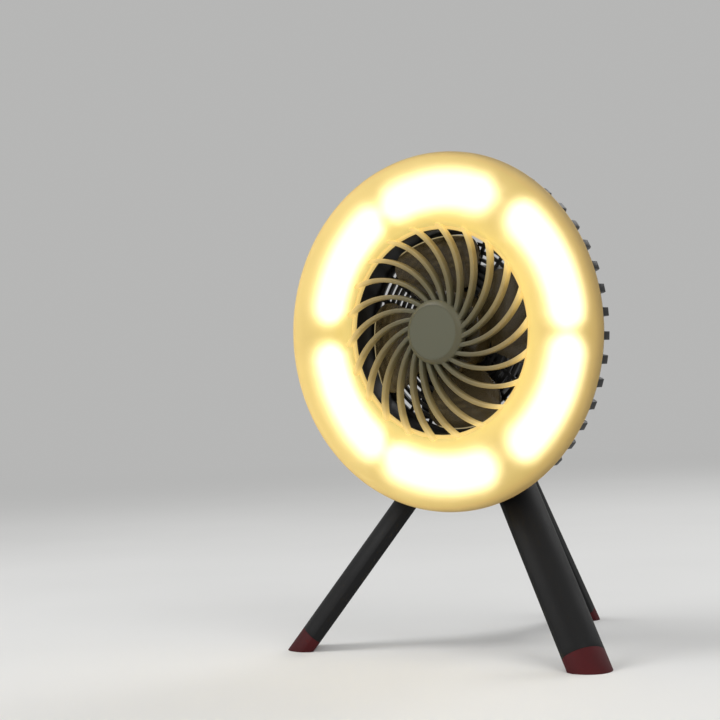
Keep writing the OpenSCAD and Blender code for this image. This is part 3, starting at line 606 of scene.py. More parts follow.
let_go()
bpy.ops.mesh.primitive_torus_add(major_radius=TUBE_C * MM, minor_radius=TUBE_R * MM, major_segments=192,
                                 minor_segments=64)
ring_light = bpy.context.object
cut(ring_light, (0, 0, 0), (0, 0, -1), fill=False)
edit(ring_light)
score((0, 0, LIP_A), (0, 0, 1))
pick(ring_light, lambda f: middle(f).z < LIP_A and middle(f).xy.length < TUBE_C)
bpy.ops.mesh.delete(type="FACE")
bpy.ops.object.mode_set(mode="OBJECT")
tidy_mesh(ring_light)
modify(ring_light, "SOLIDIFY", thickness=WALL * MM, offset=-1, use_even_offset=True)
soften(ring_light, 0.35, angle=50)
to_head(ring_light)
finished(ring_light, "ring_light", glow_plastic, "head", "diffuser", "light_diffuser")

# %% [markdown]
# ## The grille
#
# Twenty-two curved ribs run from the boss in the middle to a thin ring inside the light. One
# rib is a small rectangle with softened corners, spun about its own bending axis, so that it
# is an arc from above. The copies are turned about the fan's axis.

# %% Copies, turned about an axis
def join(pieces):
    """Makes one piece of several."""
    hold(pieces[0])
    for piece in pieces[1:]:
        piece.select_set(True)
    if len(pieces) > 1:
        bpy.ops.object.join()
    return bpy.context.object


def twin(piece):
    """A copy with a mesh of its own."""
    hold(piece)
    bpy.ops.object.duplicate()
    return bpy.context.object


def around(piece, angles):
    """Copies the piece about Z, once for each angle, and joins the copies."""
    copies = []
    for angle in angles:
        copy = twin(piece)
        copy.rotation_euler.z = angle
        apply_place(copy)
        copies.append(copy)
    bpy.data.objects.remove(piece, do_unlink=True)
    return join(copies)


# %% One rib, and its copies
RIB_COUNT = 22
RIB_W = 2.5
RIB_FRONT = 9.0
RIB_BACK = 4.3
RIB_BEND_R = 45.2
RIB_TIP_ANGLE = math.radians(4.9)
RIB_TURN = math.radians(48.4)
RIB_START_R = 17.0
RIB_END_R = 60.2
RIB_SOFT = 0.7          # rounding of its corners


def rib():
    """One rib, from the boss to the carrier ring."""
    start = Vector((math.cos(RIB_TIP_ANGLE - RIB_TURN), math.sin(RIB_TIP_ANGLE - RIB_TURN), 0)) * RIB_START_R
    end = Vector((math.cos(RIB_TIP_ANGLE), math.sin(RIB_TIP_ANGLE), 0)) * RIB_END_R
    chord = end - start
    across = Vector((chord.y, -chord.x, 0)).normalized()
    centre = (start + end) / 2 - across * math.sqrt(RIB_BEND_R ** 2 - (chord.length / 2) ** 2)
    from_centre = start - centre
    sweep = 2 * math.asin(chord.length / 2 / RIB_BEND_R)
    let_go()
    bpy.ops.mesh.primitive_plane_add(size=MM, location=(0, 0, 0))
    piece = bpy.context.object
    piece.scale = (RIB_W, RIB_FRONT - RIB_BACK, 1)
    apply_place(piece)
    edit(piece)
    bpy.ops.mesh.bevel(offset=RIB_SOFT * MM, segments=3, affect="VERTICES")
    bpy.ops.object.mode_set(mode="OBJECT")
    piece.rotation_euler = (math.radians(90), 0, math.atan2(from_centre.y, from_centre.x))
    piece.location = Vector((start.x, start.y, (RIB_FRONT + RIB_BACK) / 2)) * MM
    apply_place(piece)
    edit(piece)
    bpy.ops.mesh.spin(steps=26, angle=-sweep, center=centre * MM, axis=(0, 0, 1))
    bpy.ops.object.mode_set(mode="OBJECT")
    tidy_mesh(piece)
    return piece


ribs = around(rib(), [k * math.tau / RIB_COUNT for k in range(RIB_COUNT)])
print("grille ribs:", RIB_COUNT)

# %% [markdown]
# ## Boss and carrier ring
#
# The boss is turned: a drum with a wide bevel and a shallow seat for the cover disc. The ring
# that carries the ribs is a short tube inside the light's inner edge. Its rim reaches a little
# under that edge, so that no dark line shows between the two. A circle takes the lathe's place:
# it is extruded from point to point of a profile, and scaled to the radius of each point.

# %% A lathe
def push(x=0, y=0, z=0):
    """Extrudes the selection and moves it, in millimetres."""
    bpy.ops.mesh.extrude_region_move(TRANSFORM_OT_translate={"value": (x * MM, y * MM, z * MM)})


def turned(profile, sides=160):
    """A lathe shape about Z. A circle is pushed along the profile's points, (radius, height)."""
    let_go()
    radius, height = profile[0]
    bpy.ops.mesh.primitive_circle_add(vertices=sides, radius=radius * MM, location=(0, 0, height * MM))
    piece = bpy.context.object
    apply_place(piece)
    edit(piece)
    for next_radius, next_height in profile[1:]:
        push(z=next_height - height)
        scale = next_radius / radius
        bpy.ops.transform.resize(value=(scale, scale, 1), center_override=(0, 0, next_height * MM))
        radius, height = next_radius, next_height
    return piece


def lathe_ring(profile, sides=160):
    """A turned ring with a closed section: the last circle is merged with the first."""
    piece = turned(profile + profile[:1], sides)
    bpy.ops.object.mode_set(mode="OBJECT")
    tidy_mesh(piece)
    return piece


def fill_ends(piece):
    """Fills every open loop of edges."""
    edit(piece)
    bpy.ops.mesh.fill_holes(sides=0)
    bpy.ops.object.mode_set(mode="OBJECT")


def lathe_plug(profile, sides=96):
    """A turned solid: the first and the last circle are filled."""
    piece = turned(profile, sides)
    bpy.ops.object.mode_set(mode="OBJECT")
    fill_ends(piece)
    return piece


# %% Boss, carrier ring, cover disc
BOSS_R = 18.0
FACE_A = 11.0           # front of the boss
SEAT_R = 15.0           # seat of the cover disc
SEAT_A = FACE_A - 0.8
DISC_R = 14.95
DISC_FLAT_R = 7.0       # the disc's face is filled in from this circle
CARRIER_IN = 57.0
CARRIER_OUT = 58.6
RIM_OUT = 59.4          # the rim under the light's inner edge
RIM_BACK = 4.6
CARRIER_BACK = 3.0
CARRIER_FRONT = 5.3

boss = lathe_plug([(BOSS_R - 0.4, RIB_BACK), (BOSS_R, RIB_BACK + 0.4), (BOSS_R, RIB_FRONT - 0.4),
                   (BOSS_R - 0.4, RIB_FRONT + 0.1), (SEAT_R + 0.5, FACE_A - 0.1), (SEAT_R + 0.1, FACE_A),
                   (SEAT_R, FACE_A - 0.08), (SEAT_R, SEAT_A)])
carrier = lathe_ring([(CARRIER_IN, CARRIER_BACK + 0.3), (CARRIER_IN + 0.3, CARRIER_BACK),
                      (CARRIER_OUT, CARRIER_BACK), (CARRIER_OUT, RIM_BACK), (RIM_OUT, RIM_BACK),
                      (RIM_OUT, CARRIER_FRONT), (CARRIER_IN + 0.3, CARRIER_FRONT),
                      (CARRIER_IN, CARRIER_FRONT - 0.3)])
grille = join([ribs, boss, carrier])
to_head(grille)
finished(grille, "grille", grille_plastic, "head", "grille_plastic", "front_grille")

disc = lathe_plug([(DISC_R, SEAT_A), (DISC_R, FACE_A - 0.1), (DISC_R - 0.1, FACE_A), (DISC_FLAT_R, FACE_A)])
to_head(disc)
finished(disc, "cover_disc", disc_plastic, "head", "grille_plastic", "centre_disc")

# %% [markdown]
# ## The fan wheel
#
# Four wide blades stand on a hub that hides the motor. A blade is part of a thin curved shell,
# tilted into the wind. So a curved shell is cut from a big cylinder, and only what lies over
# the blade's outline, a sector with round corners, is kept.

# %% Rods, and one shape taken out of another
def rod(radius, start, end, sides=48):
    """A cylinder between two points, in millimetres, as a start."""
    let_go()
    start = Vector(start) * MM
    end = Vector(end) * MM
    bpy.ops.mesh.primitive_cylinder_add(vertices=sides, radius=radius * MM, depth=(end - start).length,
                                        location=(start + end) / 2)
    piece = bpy.context.object
    piece.rotation_euler = (end - start).to_track_quat("Z", "Y").to_euler()
    apply_place(piece)
    return piece


def carve(piece, tool, operation="DIFFERENCE"):
    """Takes the tool's shape out of the piece, or keeps only what both share."""
    modify(piece, "BOOLEAN", object=tool, operation=operation, solver="EXACT")
    bpy.data.objects.remove(tool, do_unlink=True)


# %% Blades and hub
FAN_R = 54.4
FAN_HUB_R = 24.0
SHAFT_HOLE_R = 1.6
NUT_SEAT_R = 4.5
BLADE_HALF = math.radians(35)
BLADE_T = 1.8
BLADE_FRONT = -1.2
BLADE_BACK = -12.2
BLADE_SAG = 3.5
BLADE_CORNER = 11.0
CORNER_CUTS = 9         # flat cuts that round a corner
BLADE_COUNT = 4
ROTOR_TURN = math.radians(10)


def blade_outline():
    """A solid sector, rounded at its two outer corners by flat cuts, much taller than the blade."""
    sector = rod(FAN_R, (0, 0, -30), (0, 0, 20), 180)
    corner_r = FAN_R - BLADE_CORNER
    lean = math.asin(BLADE_CORNER / corner_r)
    for side in (1, -1):
        cut(sector, (0, 0, 0), (-math.sin(BLADE_HALF), side * math.cos(BLADE_HALF), 0))
        corner = Vector((math.cos(BLADE_HALF - lean), side * math.sin(BLADE_HALF - lean), 0)) * corner_r
        for step in range(CORNER_CUTS):
            turn = BLADE_HALF - lean + math.radians((step + 0.5) * 90 / CORNER_CUTS)
            out = Vector((math.cos(turn), side * math.sin(turn), 0))
            cut(sector, corner + out * BLADE_CORNER, out)
    return sector


def blade():
    """One blade: a tilted, curved shell over the blade's outline."""
    half_chord = FAN_R * math.sin(BLADE_HALF)
    rise = BLADE_FRONT - BLADE_BACK - BLADE_T
    chord = math.hypot(2 * half_chord, rise)
    bend = ((chord / 2) ** 2 + BLADE_SAG ** 2) / (2 * BLADE_SAG)
    lean = Vector((0, -rise, 2 * half_chord)) / chord
    centre = Vector((0, 0, (BLADE_FRONT + BLADE_BACK) / 2)) + (bend - BLADE_SAG) * lean
    root = centre + Vector((FAN_HUB_R - 1.5, 0, 0))
    shell = rod(bend + BLADE_T / 2, root, centre + Vector((FAN_R + 5, 0, 0)), 256)
    core = rod(bend - BLADE_T / 2, centre, centre + Vector((FAN_R + 9, 0, 0)), 256)
    carve(shell, core)
    cut(shell, centre, lean)
    carve(shell, blade_outline(), "INTERSECT")
    soften(shell, 0.5, segments=2, angle=40)
    return shell


blades = around(blade(), [ROTOR_TURN + k * math.tau / BLADE_COUNT for k in range(BLADE_COUNT)])
hub = lathe_ring([(FAN_HUB_R - 1.5, -12), (FAN_HUB_R, -12), (FAN_HUB_R, -1.5), (FAN_HUB_R - 0.5, -0.5),
                  (FAN_HUB_R - 1.5, 0), (NUT_SEAT_R, 0), (NUT_SEAT_R - 0.4, -0.3), (SHAFT_HOLE_R, -0.3),
                  (SHAFT_HOLE_R, -1.5), (FAN_HUB_R - 1.6, -1.5)])
wheel = join([blades, hub])
to_head(wheel)
finished(wheel, "fan_wheel", blade_plastic, "rotor", "blade_plastic", "impeller")

# %% [markdown]
# ## The black back
#
# Behind the light sits a flat cone of black plastic with cooling fins round its edge. The
# shell is turned. One fin is a block with its free corners cut off and softened, and it is
# copied round the rim, except behind the legs.

# %% Back shell
BACK_A = -15.0
SHOULDER_R = RING_R - 2
SHOULDER_A = -3.8
RIM_R = 99.4            # a little inside the ring light's edge
GUARD_FRONT = BACK_A + 0.8
GUARD_BACK = GUARD_FRONT - 1.8
DUCT_R = 57.0
DUCT_OUT_R = 58.73
DUCT_FLANGE_A = -12.3   # front of the duct's flange
DUCT_LIP_A = 2.4
GUARD_R = 59.63
CONE_R = GUARD_R + 0.2
CONE_SLOPE = (-BACK_A + SHOULDER_A) / (SHOULDER_R - CONE_R)
SCREW_RING_R = TUBE_C - 4

shell = lathe_ring([(RIM_R, 0), (RIM_R, -1.2), (RIM_R - 0.3, -1.7), (RIM_R - 1.2, -3.5), (RIM_R - 1.8, -4.0),
                    (CONE_R + 0.6, BACK_A + 0.1), (CONE_R, BACK_A + 0.1), (CONE_R, BACK_A + 2),
                    (RIM_R - 2.9, -2.2), (RIM_R - 3.4, -2.8), (RIM_R - 0.9, -2.8), (RIM_R - 0.9, 0)])
duct = lathe_ring([(DUCT_R, GUARD_FRONT), (CONE_R + 1, GUARD_FRONT), (CONE_R + 1, DUCT_FLANGE_A),
                   (DUCT_OUT_R, DUCT_FLANGE_A), (DUCT_OUT_R, DUCT_LIP_A),
                   (DUCT_OUT_R - 0.33, DUCT_LIP_A + 0.3), (DUCT_R + 0.3, DUCT_LIP_A + 0.3),
                   (DUCT_R, DUCT_LIP_A)])
print("back shell:", 2 * RIM_R, "mm across")

# %% Cooling fins
FIN_COUNT = 48
FIN_W = 4.5
FIN_A = -12.7
FIN_IN_R = TUBE_C + 1
FIN_OUT_R = RING_R - 2.5
FIN_BEVEL = 1.8
FIN_FREE = 36           # no fins within this many degrees of the bottom, where the legs pass


def block(x0, x1, y0, y1, z0, z1):
    """A box between two corners, in millimetres, as a start."""
    let_go()
    centre = ((x0 + x1) / 2 * MM, (y0 + y1) / 2 * MM, (z0 + z1) / 2 * MM)
    bpy.ops.mesh.primitive_cube_add(size=MM, location=centre)
    piece = bpy.context.object
    piece.scale = (x1 - x0, y1 - y0, z1 - z0)
    apply_place(piece)
    return piece


def fin():
    """One fin, on the right side of the rim."""
    piece = block(FIN_IN_R, FIN_OUT_R, -FIN_W / 2, FIN_W / 2, FIN_A, SHOULDER_A + 0.4)
    edit(piece)
    pick(piece, lambda e: abs(middle(e).y) < NEAR and abs(middle(e).z - FIN_A) < NEAR, "EDGE")
    bpy.ops.mesh.bevel(offset=FIN_BEVEL * MM, segments=1, affect="EDGES")
    bpy.ops.object.mode_set(mode="OBJECT")
    # The fin's front edge follows the cone
    cut(piece, (SHOULDER_R, 0, SHOULDER_A + 0.6), (-CONE_SLOPE, 0, 1.0))
    soften(piece, 0.5, segments=2)
    return piece


fin_angles = [(k + 0.5) * math.tau / FIN_COUNT for k in range(FIN_COUNT)]
fin_angles = [angle for angle in fin_angles if abs(math.degrees(angle) - 270) > FIN_FREE]
fins = around(fin(), fin_angles)
print("cooling fins:", len(fin_angles))

# %% Screw sleeves
SCREW_COUNT = 6
SLEEVE_R = 4.3
HEAD_HOLE_R = 3.0
SCREW_HOLE_R = 1.6
SEAT_OF_HEAD = SHOULDER_A - (SHOULDER_R - SCREW_RING_R) * CONE_SLOPE + 1

sleeve = lathe_ring([(SLEEVE_R, SEAT_OF_HEAD - 2.0), (SLEEVE_R - 0.4, SEAT_OF_HEAD - 2.4),
                     (HEAD_HOLE_R + 0.3, SEAT_OF_HEAD - 2.4), (HEAD_HOLE_R, SEAT_OF_HEAD - 2.0),
                     (HEAD_HOLE_R, SEAT_OF_HEAD), (SCREW_HOLE_R, SEAT_OF_HEAD), (SCREW_HOLE_R, -2),
                     (SLEEVE_R, -2)], 32)
sleeve.location.x = SCREW_RING_R * MM
apply_place(sleeve)
sleeves = around(sleeve, [k * math.tau / SCREW_COUNT for k in range(SCREW_COUNT)])
print("screw sleeves:", SCREW_COUNT)

# %% Pads for the hanging loop
LOOP_Y = 26.0
LOOP_ARM = 14.0
LOOP_R = 29.6
LOOP_LEAN = math.radians(10)
WIRE_R = 1.8
PAD_R = 3.0
PAD_X = 9.0
POD_DEPTH = 28.0
POD_FRONT = GUARD_BACK
POD_MID = POD_FRONT - POD_DEPTH / 2
POD_BACK = POD_FRONT - POD_DEPTH
# The pads stand where the leaning loop rests on them
pad_y = LOOP_Y + math.cos(LOOP_LEAN) * (LOOP_ARM + LOOP_R)
pad_a = POD_MID + math.sin(LOOP_LEAN) * (LOOP_ARM + LOOP_R) + WIRE_R / math.cos(LOOP_LEAN) + 0.3


def loop_pad(x):
    """A pad that the loop rests on, with its root inside the shell."""
    piece = lathe_plug([(PAD_R - 0.6, pad_a), (PAD_R, pad_a + 0.6), (PAD_R, -10)], 32)
    piece.location = (x * MM, pad_y * MM, 0)
    apply_place(piece)
    return piece


back = join([shell, duct, fins, sleeves, loop_pad(PAD_X), loop_pad(-PAD_X)])
to_head(back)
finished(back, "back_shell", plastic_black, "head", "black_plastic", "rear_housing")

# %% [markdown]
# ## The intake guard
#
# Air comes in from behind through a web of rings and spokes. Rings are turned, one spoke is a
# softened bar, and the middle plate carries the motor. Between two strong rings lies a slimmer
# one, set a little deeper, which keeps fingers out.

# %% Rings, spokes and plate
GUARD_SEAT_R = 24.3
GUARD_WEB_R = DUCT_R - 2.2
GUARD_GAPS = 4
GUARD_STEP = (GUARD_WEB_R - GUARD_SEAT_R) / GUARD_GAPS
SPOKE_COUNT = 24
PLATE_HOLE_R = 2.6
THIN_HALF = 0.9         # half the width of a slimmer ring
THIN_BACK = GUARD_BACK + 0.4
THIN_FRONT = GUARD_FRONT + 0.8


def guard_ring(inside, outside):
    """A strong ring between two radii."""
    return lathe_ring([(inside, GUARD_BACK + 0.4), (inside + 0.4, GUARD_BACK), (outside - 0.4, GUARD_BACK),
                       (outside, GUARD_BACK + 0.4), (outside, GUARD_FRONT), (inside, GUARD_FRONT)])


web = [guard_ring(GUARD_WEB_R, GUARD_R)]
for k in range(1, GUARD_GAPS):
    strong = GUARD_SEAT_R + k * GUARD_STEP
    web.append(guard_ring(strong - 1, strong + 1))
for k in range(GUARD_GAPS):
    thin = GUARD_SEAT_R + (k + 0.5) * GUARD_STEP
    web.append(lathe_ring([(thin - THIN_HALF, THIN_BACK), (thin + THIN_HALF, THIN_BACK),
                           (thin + THIN_HALF, THIN_FRONT), (thin - THIN_HALF, THIN_FRONT)]))
web.append(lathe_ring([(PLATE_HOLE_R, GUARD_BACK), (GUARD_SEAT_R - 0.5, GUARD_BACK),
                       (GUARD_SEAT_R, GUARD_BACK + 0.5), (GUARD_SEAT_R, GUARD_FRONT),
                       (PLATE_HOLE_R, GUARD_FRONT)]))
spoke = block(GUARD_SEAT_R - 1, DUCT_R - 1, -1, 1, GUARD_BACK, GUARD_FRONT)
soften(spoke, 0.35, segments=2)
web.append(around(spoke, [(k + 0.5) * math.tau / SPOKE_COUNT for k in range(SPOKE_COUNT)]))
guard = join(web)
to_head(guard)
finished(guard, "intake_web", plastic_black, "head", "black_plastic", "intake_guard")

# %% [markdown]
# ## The battery pod
#
# A box with very round corners hangs behind the fan. It holds the cells, and its cover has the
# two buttons, a small light and the charging port. A block becomes such a box when its four
# long edges are bevelled wide and its end's rim a little.

# %% Rounded boxes
POD_W = 54.0
POD_H = 74.0
POD_CORNER = 14.0
POD_WALL = 2.0
COVER_FRONT = POD_BACK + 7.4


def upright(edge):
    """Whether an edge runs along z."""
    return abs(edge.verts[0].co.z - edge.verts[1].co.z) > NEAR * MM


def rounded_box(w, h, low, high, corner, rim=0.0, rim_side=-1, segments=10):
    """A box in the head's axes, from depth low to high, with round corners and one soft rim."""
    piece = block(-w / 2, w / 2, -h / 2, h / 2, low, high)
    edit(piece)
    pick(piece, upright, "EDGE")
    bpy.ops.mesh.bevel(offset=corner * MM, segments=segments, affect="EDGES")
    if rim:
        end = high if rim_side > 0 else low
        pick(piece, lambda f: abs(middle(f).z - end) < NEAR)
        bpy.ops.mesh.region_to_loop()
        bpy.ops.mesh.bevel(offset=rim * MM, segments=4, affect="EDGES")
    bpy.ops.object.mode_set(mode="OBJECT")
    return piece


def moved(piece, y):
    """Moves a piece along y, in millimetres."""
    piece.location = Vector((0, y, 0)) * MM
    apply_place(piece)
    return piece


# %% Cup of the pod, with its two pairs of bearings
PIVOT_DROP = 8.0
TILT_PIN_R = 2.5
TILT_BEARING_R = 5.5
LOOP_BEARING_R = 4.0
BOSS_IN = 4.0
PIN_GAP = 0.03          # running gap round a pin

cup = rounded_box(POD_W, POD_H, COVER_FRONT + 0.6, POD_FRONT, POD_CORNER, 1.6, 1)
carve(cup, rounded_box(POD_W - 2 * POD_WALL, POD_H - 2 * POD_WALL, COVER_FRONT - 1, POD_FRONT - POD_WALL,
                       POD_CORNER - POD_WALL))
bearings = []
for y, outside, inside in ((-PIVOT_DROP, TILT_BEARING_R, TILT_PIN_R), (LOOP_Y, LOOP_BEARING_R, WIRE_R)):
    carve(cup, rod(inside + PIN_GAP, (-POD_W, y, POD_MID), (POD_W, y, POD_MID)))
    for side in (1, -1):
        ends = [(side * (POD_W / 2 - depth), y, POD_MID) for depth in (BOSS_IN + 1, 1)]
        bearing = rod(outside, *ends, sides=32)
        carve(bearing, rod(inside + PIN_GAP, (0, y, POD_MID), (side * POD_W, y, POD_MID)))
        bearings.append(bearing)
soften(cup, 0.35, segments=2, angle=50)
cup = join([cup] + bearings)
to_head(cup)
finished(cup, "pod_cup", plastic_black, "head", "black_plastic", "pod_body")

# %% Cover of the pod
FAN_BUTTON_Y = 15.0
LIGHT_BUTTON_Y = -1.0
BUTTON_R = 5.5
LENS_Y = 27.0
LENS = (16.0, 3.0)              # width and height
PORT_Y = -21.0
PORT = (9.2, 3.4)
FLAP = (16.0, 8.5, 1.6)         # width, height and thickness
FLAP_HINGE_Y = PORT_Y + FLAP[1] / 2 + 1.2
FLAP_HINGE_A = POD_BACK - 1.2
FLAP_PIN_R = 0.8
POST_R = 3.0
POST_X = POD_W / 2 - POD_WALL - POST_R - 0.2    # the screw posts stand just inside the wall
POST_YS = (0.19 * POD_H, -0.35 * POD_H)
SCREW_POCKET_R = 2.3
LUG_R = 1.3
LUG_X = FLAP[0] / 2 + 1.3


def hinge_rod(radius, x0, x1, sides):
    """A rod on the flap's hinge line, between two places along it."""
    return rod(radius, (x0, FLAP_HINGE_Y, FLAP_HINGE_A), (x1, FLAP_HINGE_Y, FLAP_HINGE_A), sides)


cover = rounded_box(POD_W, POD_H, POD_BACK, COVER_FRONT, POD_CORNER, 2.2, -1)
carve(cover, rounded_box(POD_W - 2 * POD_WALL, POD_H - 2 * POD_WALL, POD_BACK + POD_WALL, COVER_FRONT + 1,
                         POD_CORNER - POD_WALL))
for y in (FAN_BUTTON_Y, LIGHT_BUTTON_Y):
    carve(cover, rod(BUTTON_R + 0.3, (0, y, POD_BACK - 1), (0, y, POD_BACK + 3), 64))
port_hole = rounded_box(PORT[0] + 0.4, PORT[1] + 0.4, POD_BACK - 1, POD_BACK + 3, 1.6, segments=5)
carve(cover, moved(port_hole, PORT_Y))
lens_x = LENS[0] / 2 + 0.1
lens_y = LENS[1] / 2 + 0.1
carve(cover, block(-lens_x, lens_x, LENS_Y - lens_y, LENS_Y + lens_y, POD_BACK - 1, POD_BACK + 3))
for x in (POST_X, -POST_X):
    for y in POST_YS:
        carve(cover, rod(SCREW_POCKET_R, (x, y, POD_BACK - 1), (x, y, POD_BACK + 1.2), 32))
soften(cover, 0.3, segments=2, angle=50)
lugs = []
for side in (1, -1):
    x = side * LUG_X
    lug = block(x - 1, x + 1, FLAP_HINGE_Y - LUG_R, FLAP_HINGE_Y + LUG_R, FLAP_HINGE_A - LUG_R, POD_BACK + 1)
    carve(lug, hinge_rod(FLAP_PIN_R + PIN_GAP, x - 3, x + 3, 24))
    soften(lug, 0.3, segments=2, angle=50)
    lugs.append(lug)
cover = join([cover] + lugs)
to_head(cover)
finished(cover, "pod_lid", plastic_black, "head", "black_plastic", "pod_cover")

# %% [markdown]
# ## Buttons, flap and loop
#
# The buttons are turned, with a shallow dish for the fingertip. The rubber flap is a rounded
# block with a hinge rod. The loop is a round wire: a circle pushed along one arm, spun over the
# top and pushed down the other arm.

# %% Push buttons
STEM_R = 1.5            # a button's stem, which presses its switch
STEM_END = POD_BACK + 5.1
FLANGE_R = 6.4          # its flange, which keeps it in the cover


def button(name, y, finish, body, slot, node):
    """One button, at its height on the cover. The last points of its profile are the dish."""
    top = POD_BACK - 1.3
    flange = POD_BACK + 2.3
    piece = lathe_plug([(STEM_R, STEM_END), (STEM_R, flange + 0.6), (FLANGE_R, flange + 0.6),
                        (FLANGE_R, flange), (BUTTON_R, flange), (BUTTON_R, top + 0.5),
                        (BUTTON_R - 0.2, top + 0.15), (4.9, top), (4.2, top + 0.05), (3.0, top + 0.35),
                        (1.6, top + 0.5), (0.5, top + 0.55)], 64)
    moved(piece, y)
    to_head(piece)
    finished(piece, name, finish, body, slot, node)


button("fan_switch", FAN_BUTTON_Y, plastic_red, "fan_button", "button_red", "fan_button")
button("light_switch", LIGHT_BUTTON_Y, plastic_grey, "light_button", "button_grey", "light_button")

# %% Port flap
FLAP_CORNER = 2.5
KNUCKLE_R = 1.0
PIN_OUT = 2.2           # its hinge pin stands out this far at each side

plate = block(-FLAP[0] / 2, FLAP[0] / 2, PORT_Y - FLAP[1] / 2, PORT_Y + FLAP[1] / 2 + 1.2,
              POD_BACK - 0.3 - FLAP[2], POD_BACK - 0.3)
edit(plate)
pick(plate, lambda e: upright(e) and middle(e).y < PORT_Y, "EDGE")
bpy.ops.mesh.bevel(offset=FLAP_CORNER * MM, segments=5, affect="EDGES")
bpy.ops.object.mode_set(mode="OBJECT")
soften(plate, 0.45)
knuckle = hinge_rod(KNUCKLE_R, -FLAP[0] / 2, FLAP[0] / 2, 32)
pin = hinge_rod(FLAP_PIN_R, -FLAP[0] / 2 - PIN_OUT, FLAP[0] / 2 + PIN_OUT, 32)
soften(pin, 0.15, segments=2)
flap = join([plate, knuckle, pin])
to_head(flap)
finished(flap, "port_cover", rubber_black, "port_flap", "black_rubber", "port_flap")

# %% Hanging loop
def wire_loop():
    """The wire's bow, with its two arms, in the plane of x and y."""
    let_go()
    bpy.ops.mesh.primitive_circle_add(vertices=24, radius=WIRE_R * MM, location=(LOOP_R * MM, 0, 0))
    piece = bpy.context.object
    piece.rotation_euler.x = math.radians(90)
    apply_place(piece)
    edit(piece)
    push(y=LOOP_ARM)
    bpy.ops.mesh.spin(steps=40, angle=-math.pi, center=(0, LOOP_ARM * MM, 0), axis=(0, 0, 1))
    push(y=-LOOP_ARM)
    bpy.ops.object.mode_set(mode="OBJECT")
    fill_ends(piece)
    return piece


loop_parts = [wire_loop()]
for side in (1, -1):
    foot = rod(WIRE_R, (side * (POD_W / 2 - BOSS_IN), 0, 0), (side * LOOP_R, 0, 0), 24)
    soften(foot, 0.3, segments=2)
    let_go()
    bpy.ops.mesh.primitive_uv_sphere_add(segments=24, ring_count=16, radius=WIRE_R * MM,
                                         location=(side * LOOP_R * MM, 0, 0))
    elbow = bpy.context.object
    apply_place(elbow)
    loop_parts += [foot, elbow]
loop = join(loop_parts)
loop.rotation_euler.x = LOOP_LEAN
loop.location = (0, LOOP_Y * MM, POD_MID * MM)
apply_place(loop)
to_head(loop)
finished(loop, "wire_loop", steel, "hanging_loop", "steel", "hanging_loop", smooth=60)

# %% [markdown]
# ## The yoke
#
# A flat fork carries the head between two arms. It grows out of one block: the base is as wide
# as the fork, and the two ends of its top are pushed up. The tops of the arms are rounded over.

# %% Fork and turntable
STAND_OFFSET = 38.0     # the tripod's axis lies this far behind the rim plane
LEG_REACH = 158.2       # from a leg's hinge pin to the floor, along the leg
LEG_SPREAD = math.radians(37.7)
HINGE_R = 13.0
HINGE_Z = LEG_REACH * math.cos(LEG_SPREAD)
SLIP = 0.3              # clearance between parts that turn against each other
WASHER_T = 1.0
YOKE_T = 4.3
ARM_X = POD_W / 2 + SLIP + WASHER_T
ARM_R = 6.0
ARM_FILLET = 2.5
BARREL_R = 4.5
HUB_TOP = HINGE_Z + BARREL_R + 0.8
HUB_R = HINGE_R + BARREL_R + 0.7
HUB_H = 17.0
PIN_FIT = 0.02          # the arms hold the tilt pins tighter than the pod does
PIVOT_Z = head_z - PIVOT_DROP
PIVOT_Y = rim_y - POD_MID
tripod_y = rim_y + STAND_OFFSET


def fork():
    """The base and the two arms, with their tops rounded over."""
    reach = ARM_X + YOKE_T
    arm_top = PIVOT_Z + ARM_R
    base_top = HUB_TOP + YOKE_T
    piece = block(-reach, reach, -ARM_R, ARM_R, HUB_TOP, base_top)
    edit(piece)
    for x in (-ARM_X, ARM_X):
        score((x, 0, 0), (1, 0, 0))
    pick(piece, lambda f: f.normal.z > 0.9 and abs(middle(f).x) > ARM_X)
    push(z=arm_top - base_top)
    pick(piece, lambda e: abs(middle(e).z - arm_top) < NEAR and abs(middle(e).y) > ARM_R - NEAR, "EDGE")
    bpy.ops.mesh.bevel(offset=(ARM_R - 0.02) * MM, segments=12, affect="EDGES")
    # Soft inner corners where the arms leave the base
    pick(piece, lambda e: abs(abs(middle(e).x) - ARM_X) < NEAR and abs(middle(e).z - base_top) < NEAR, "EDGE")
    bpy.ops.mesh.bevel(offset=ARM_FILLET * MM, segments=5, affect="EDGES")
    bpy.ops.object.mode_set(mode="OBJECT")
    return moved(piece, PIVOT_Y)


arms = fork()
carve(arms, rod(TILT_PIN_R + PIN_FIT, (-POD_W, PIVOT_Y, PIVOT_Z), (POD_W, PIVOT_Y, PIVOT_Z)))
soften(arms, 0.6)
turntable = lathe_plug([(HUB_R - 0.5, HUB_TOP), (HUB_R, HUB_TOP + 0.5), (HUB_R, HUB_TOP + YOKE_T - 1.0),
                        (HUB_R - 1.0, HUB_TOP + YOKE_T)])
moved(turntable, tripod_y)
yoke = join([arms, turntable])
finished(yoke, "fork", plastic_legs, "stand", "leg_plastic", "yoke")

# %% [markdown]
# ## The hub of the legs
#
# The hub is a drum with three slots, one for each leg's tongue. The slots are cut with a
# Boolean modifier, and then every edge is softened at once.

# %% Hub
LEG_TURNS = {"right": math.radians(-30), "left": math.radians(210), "rear": math.radians(90)}
TONGUE_W = 8.8

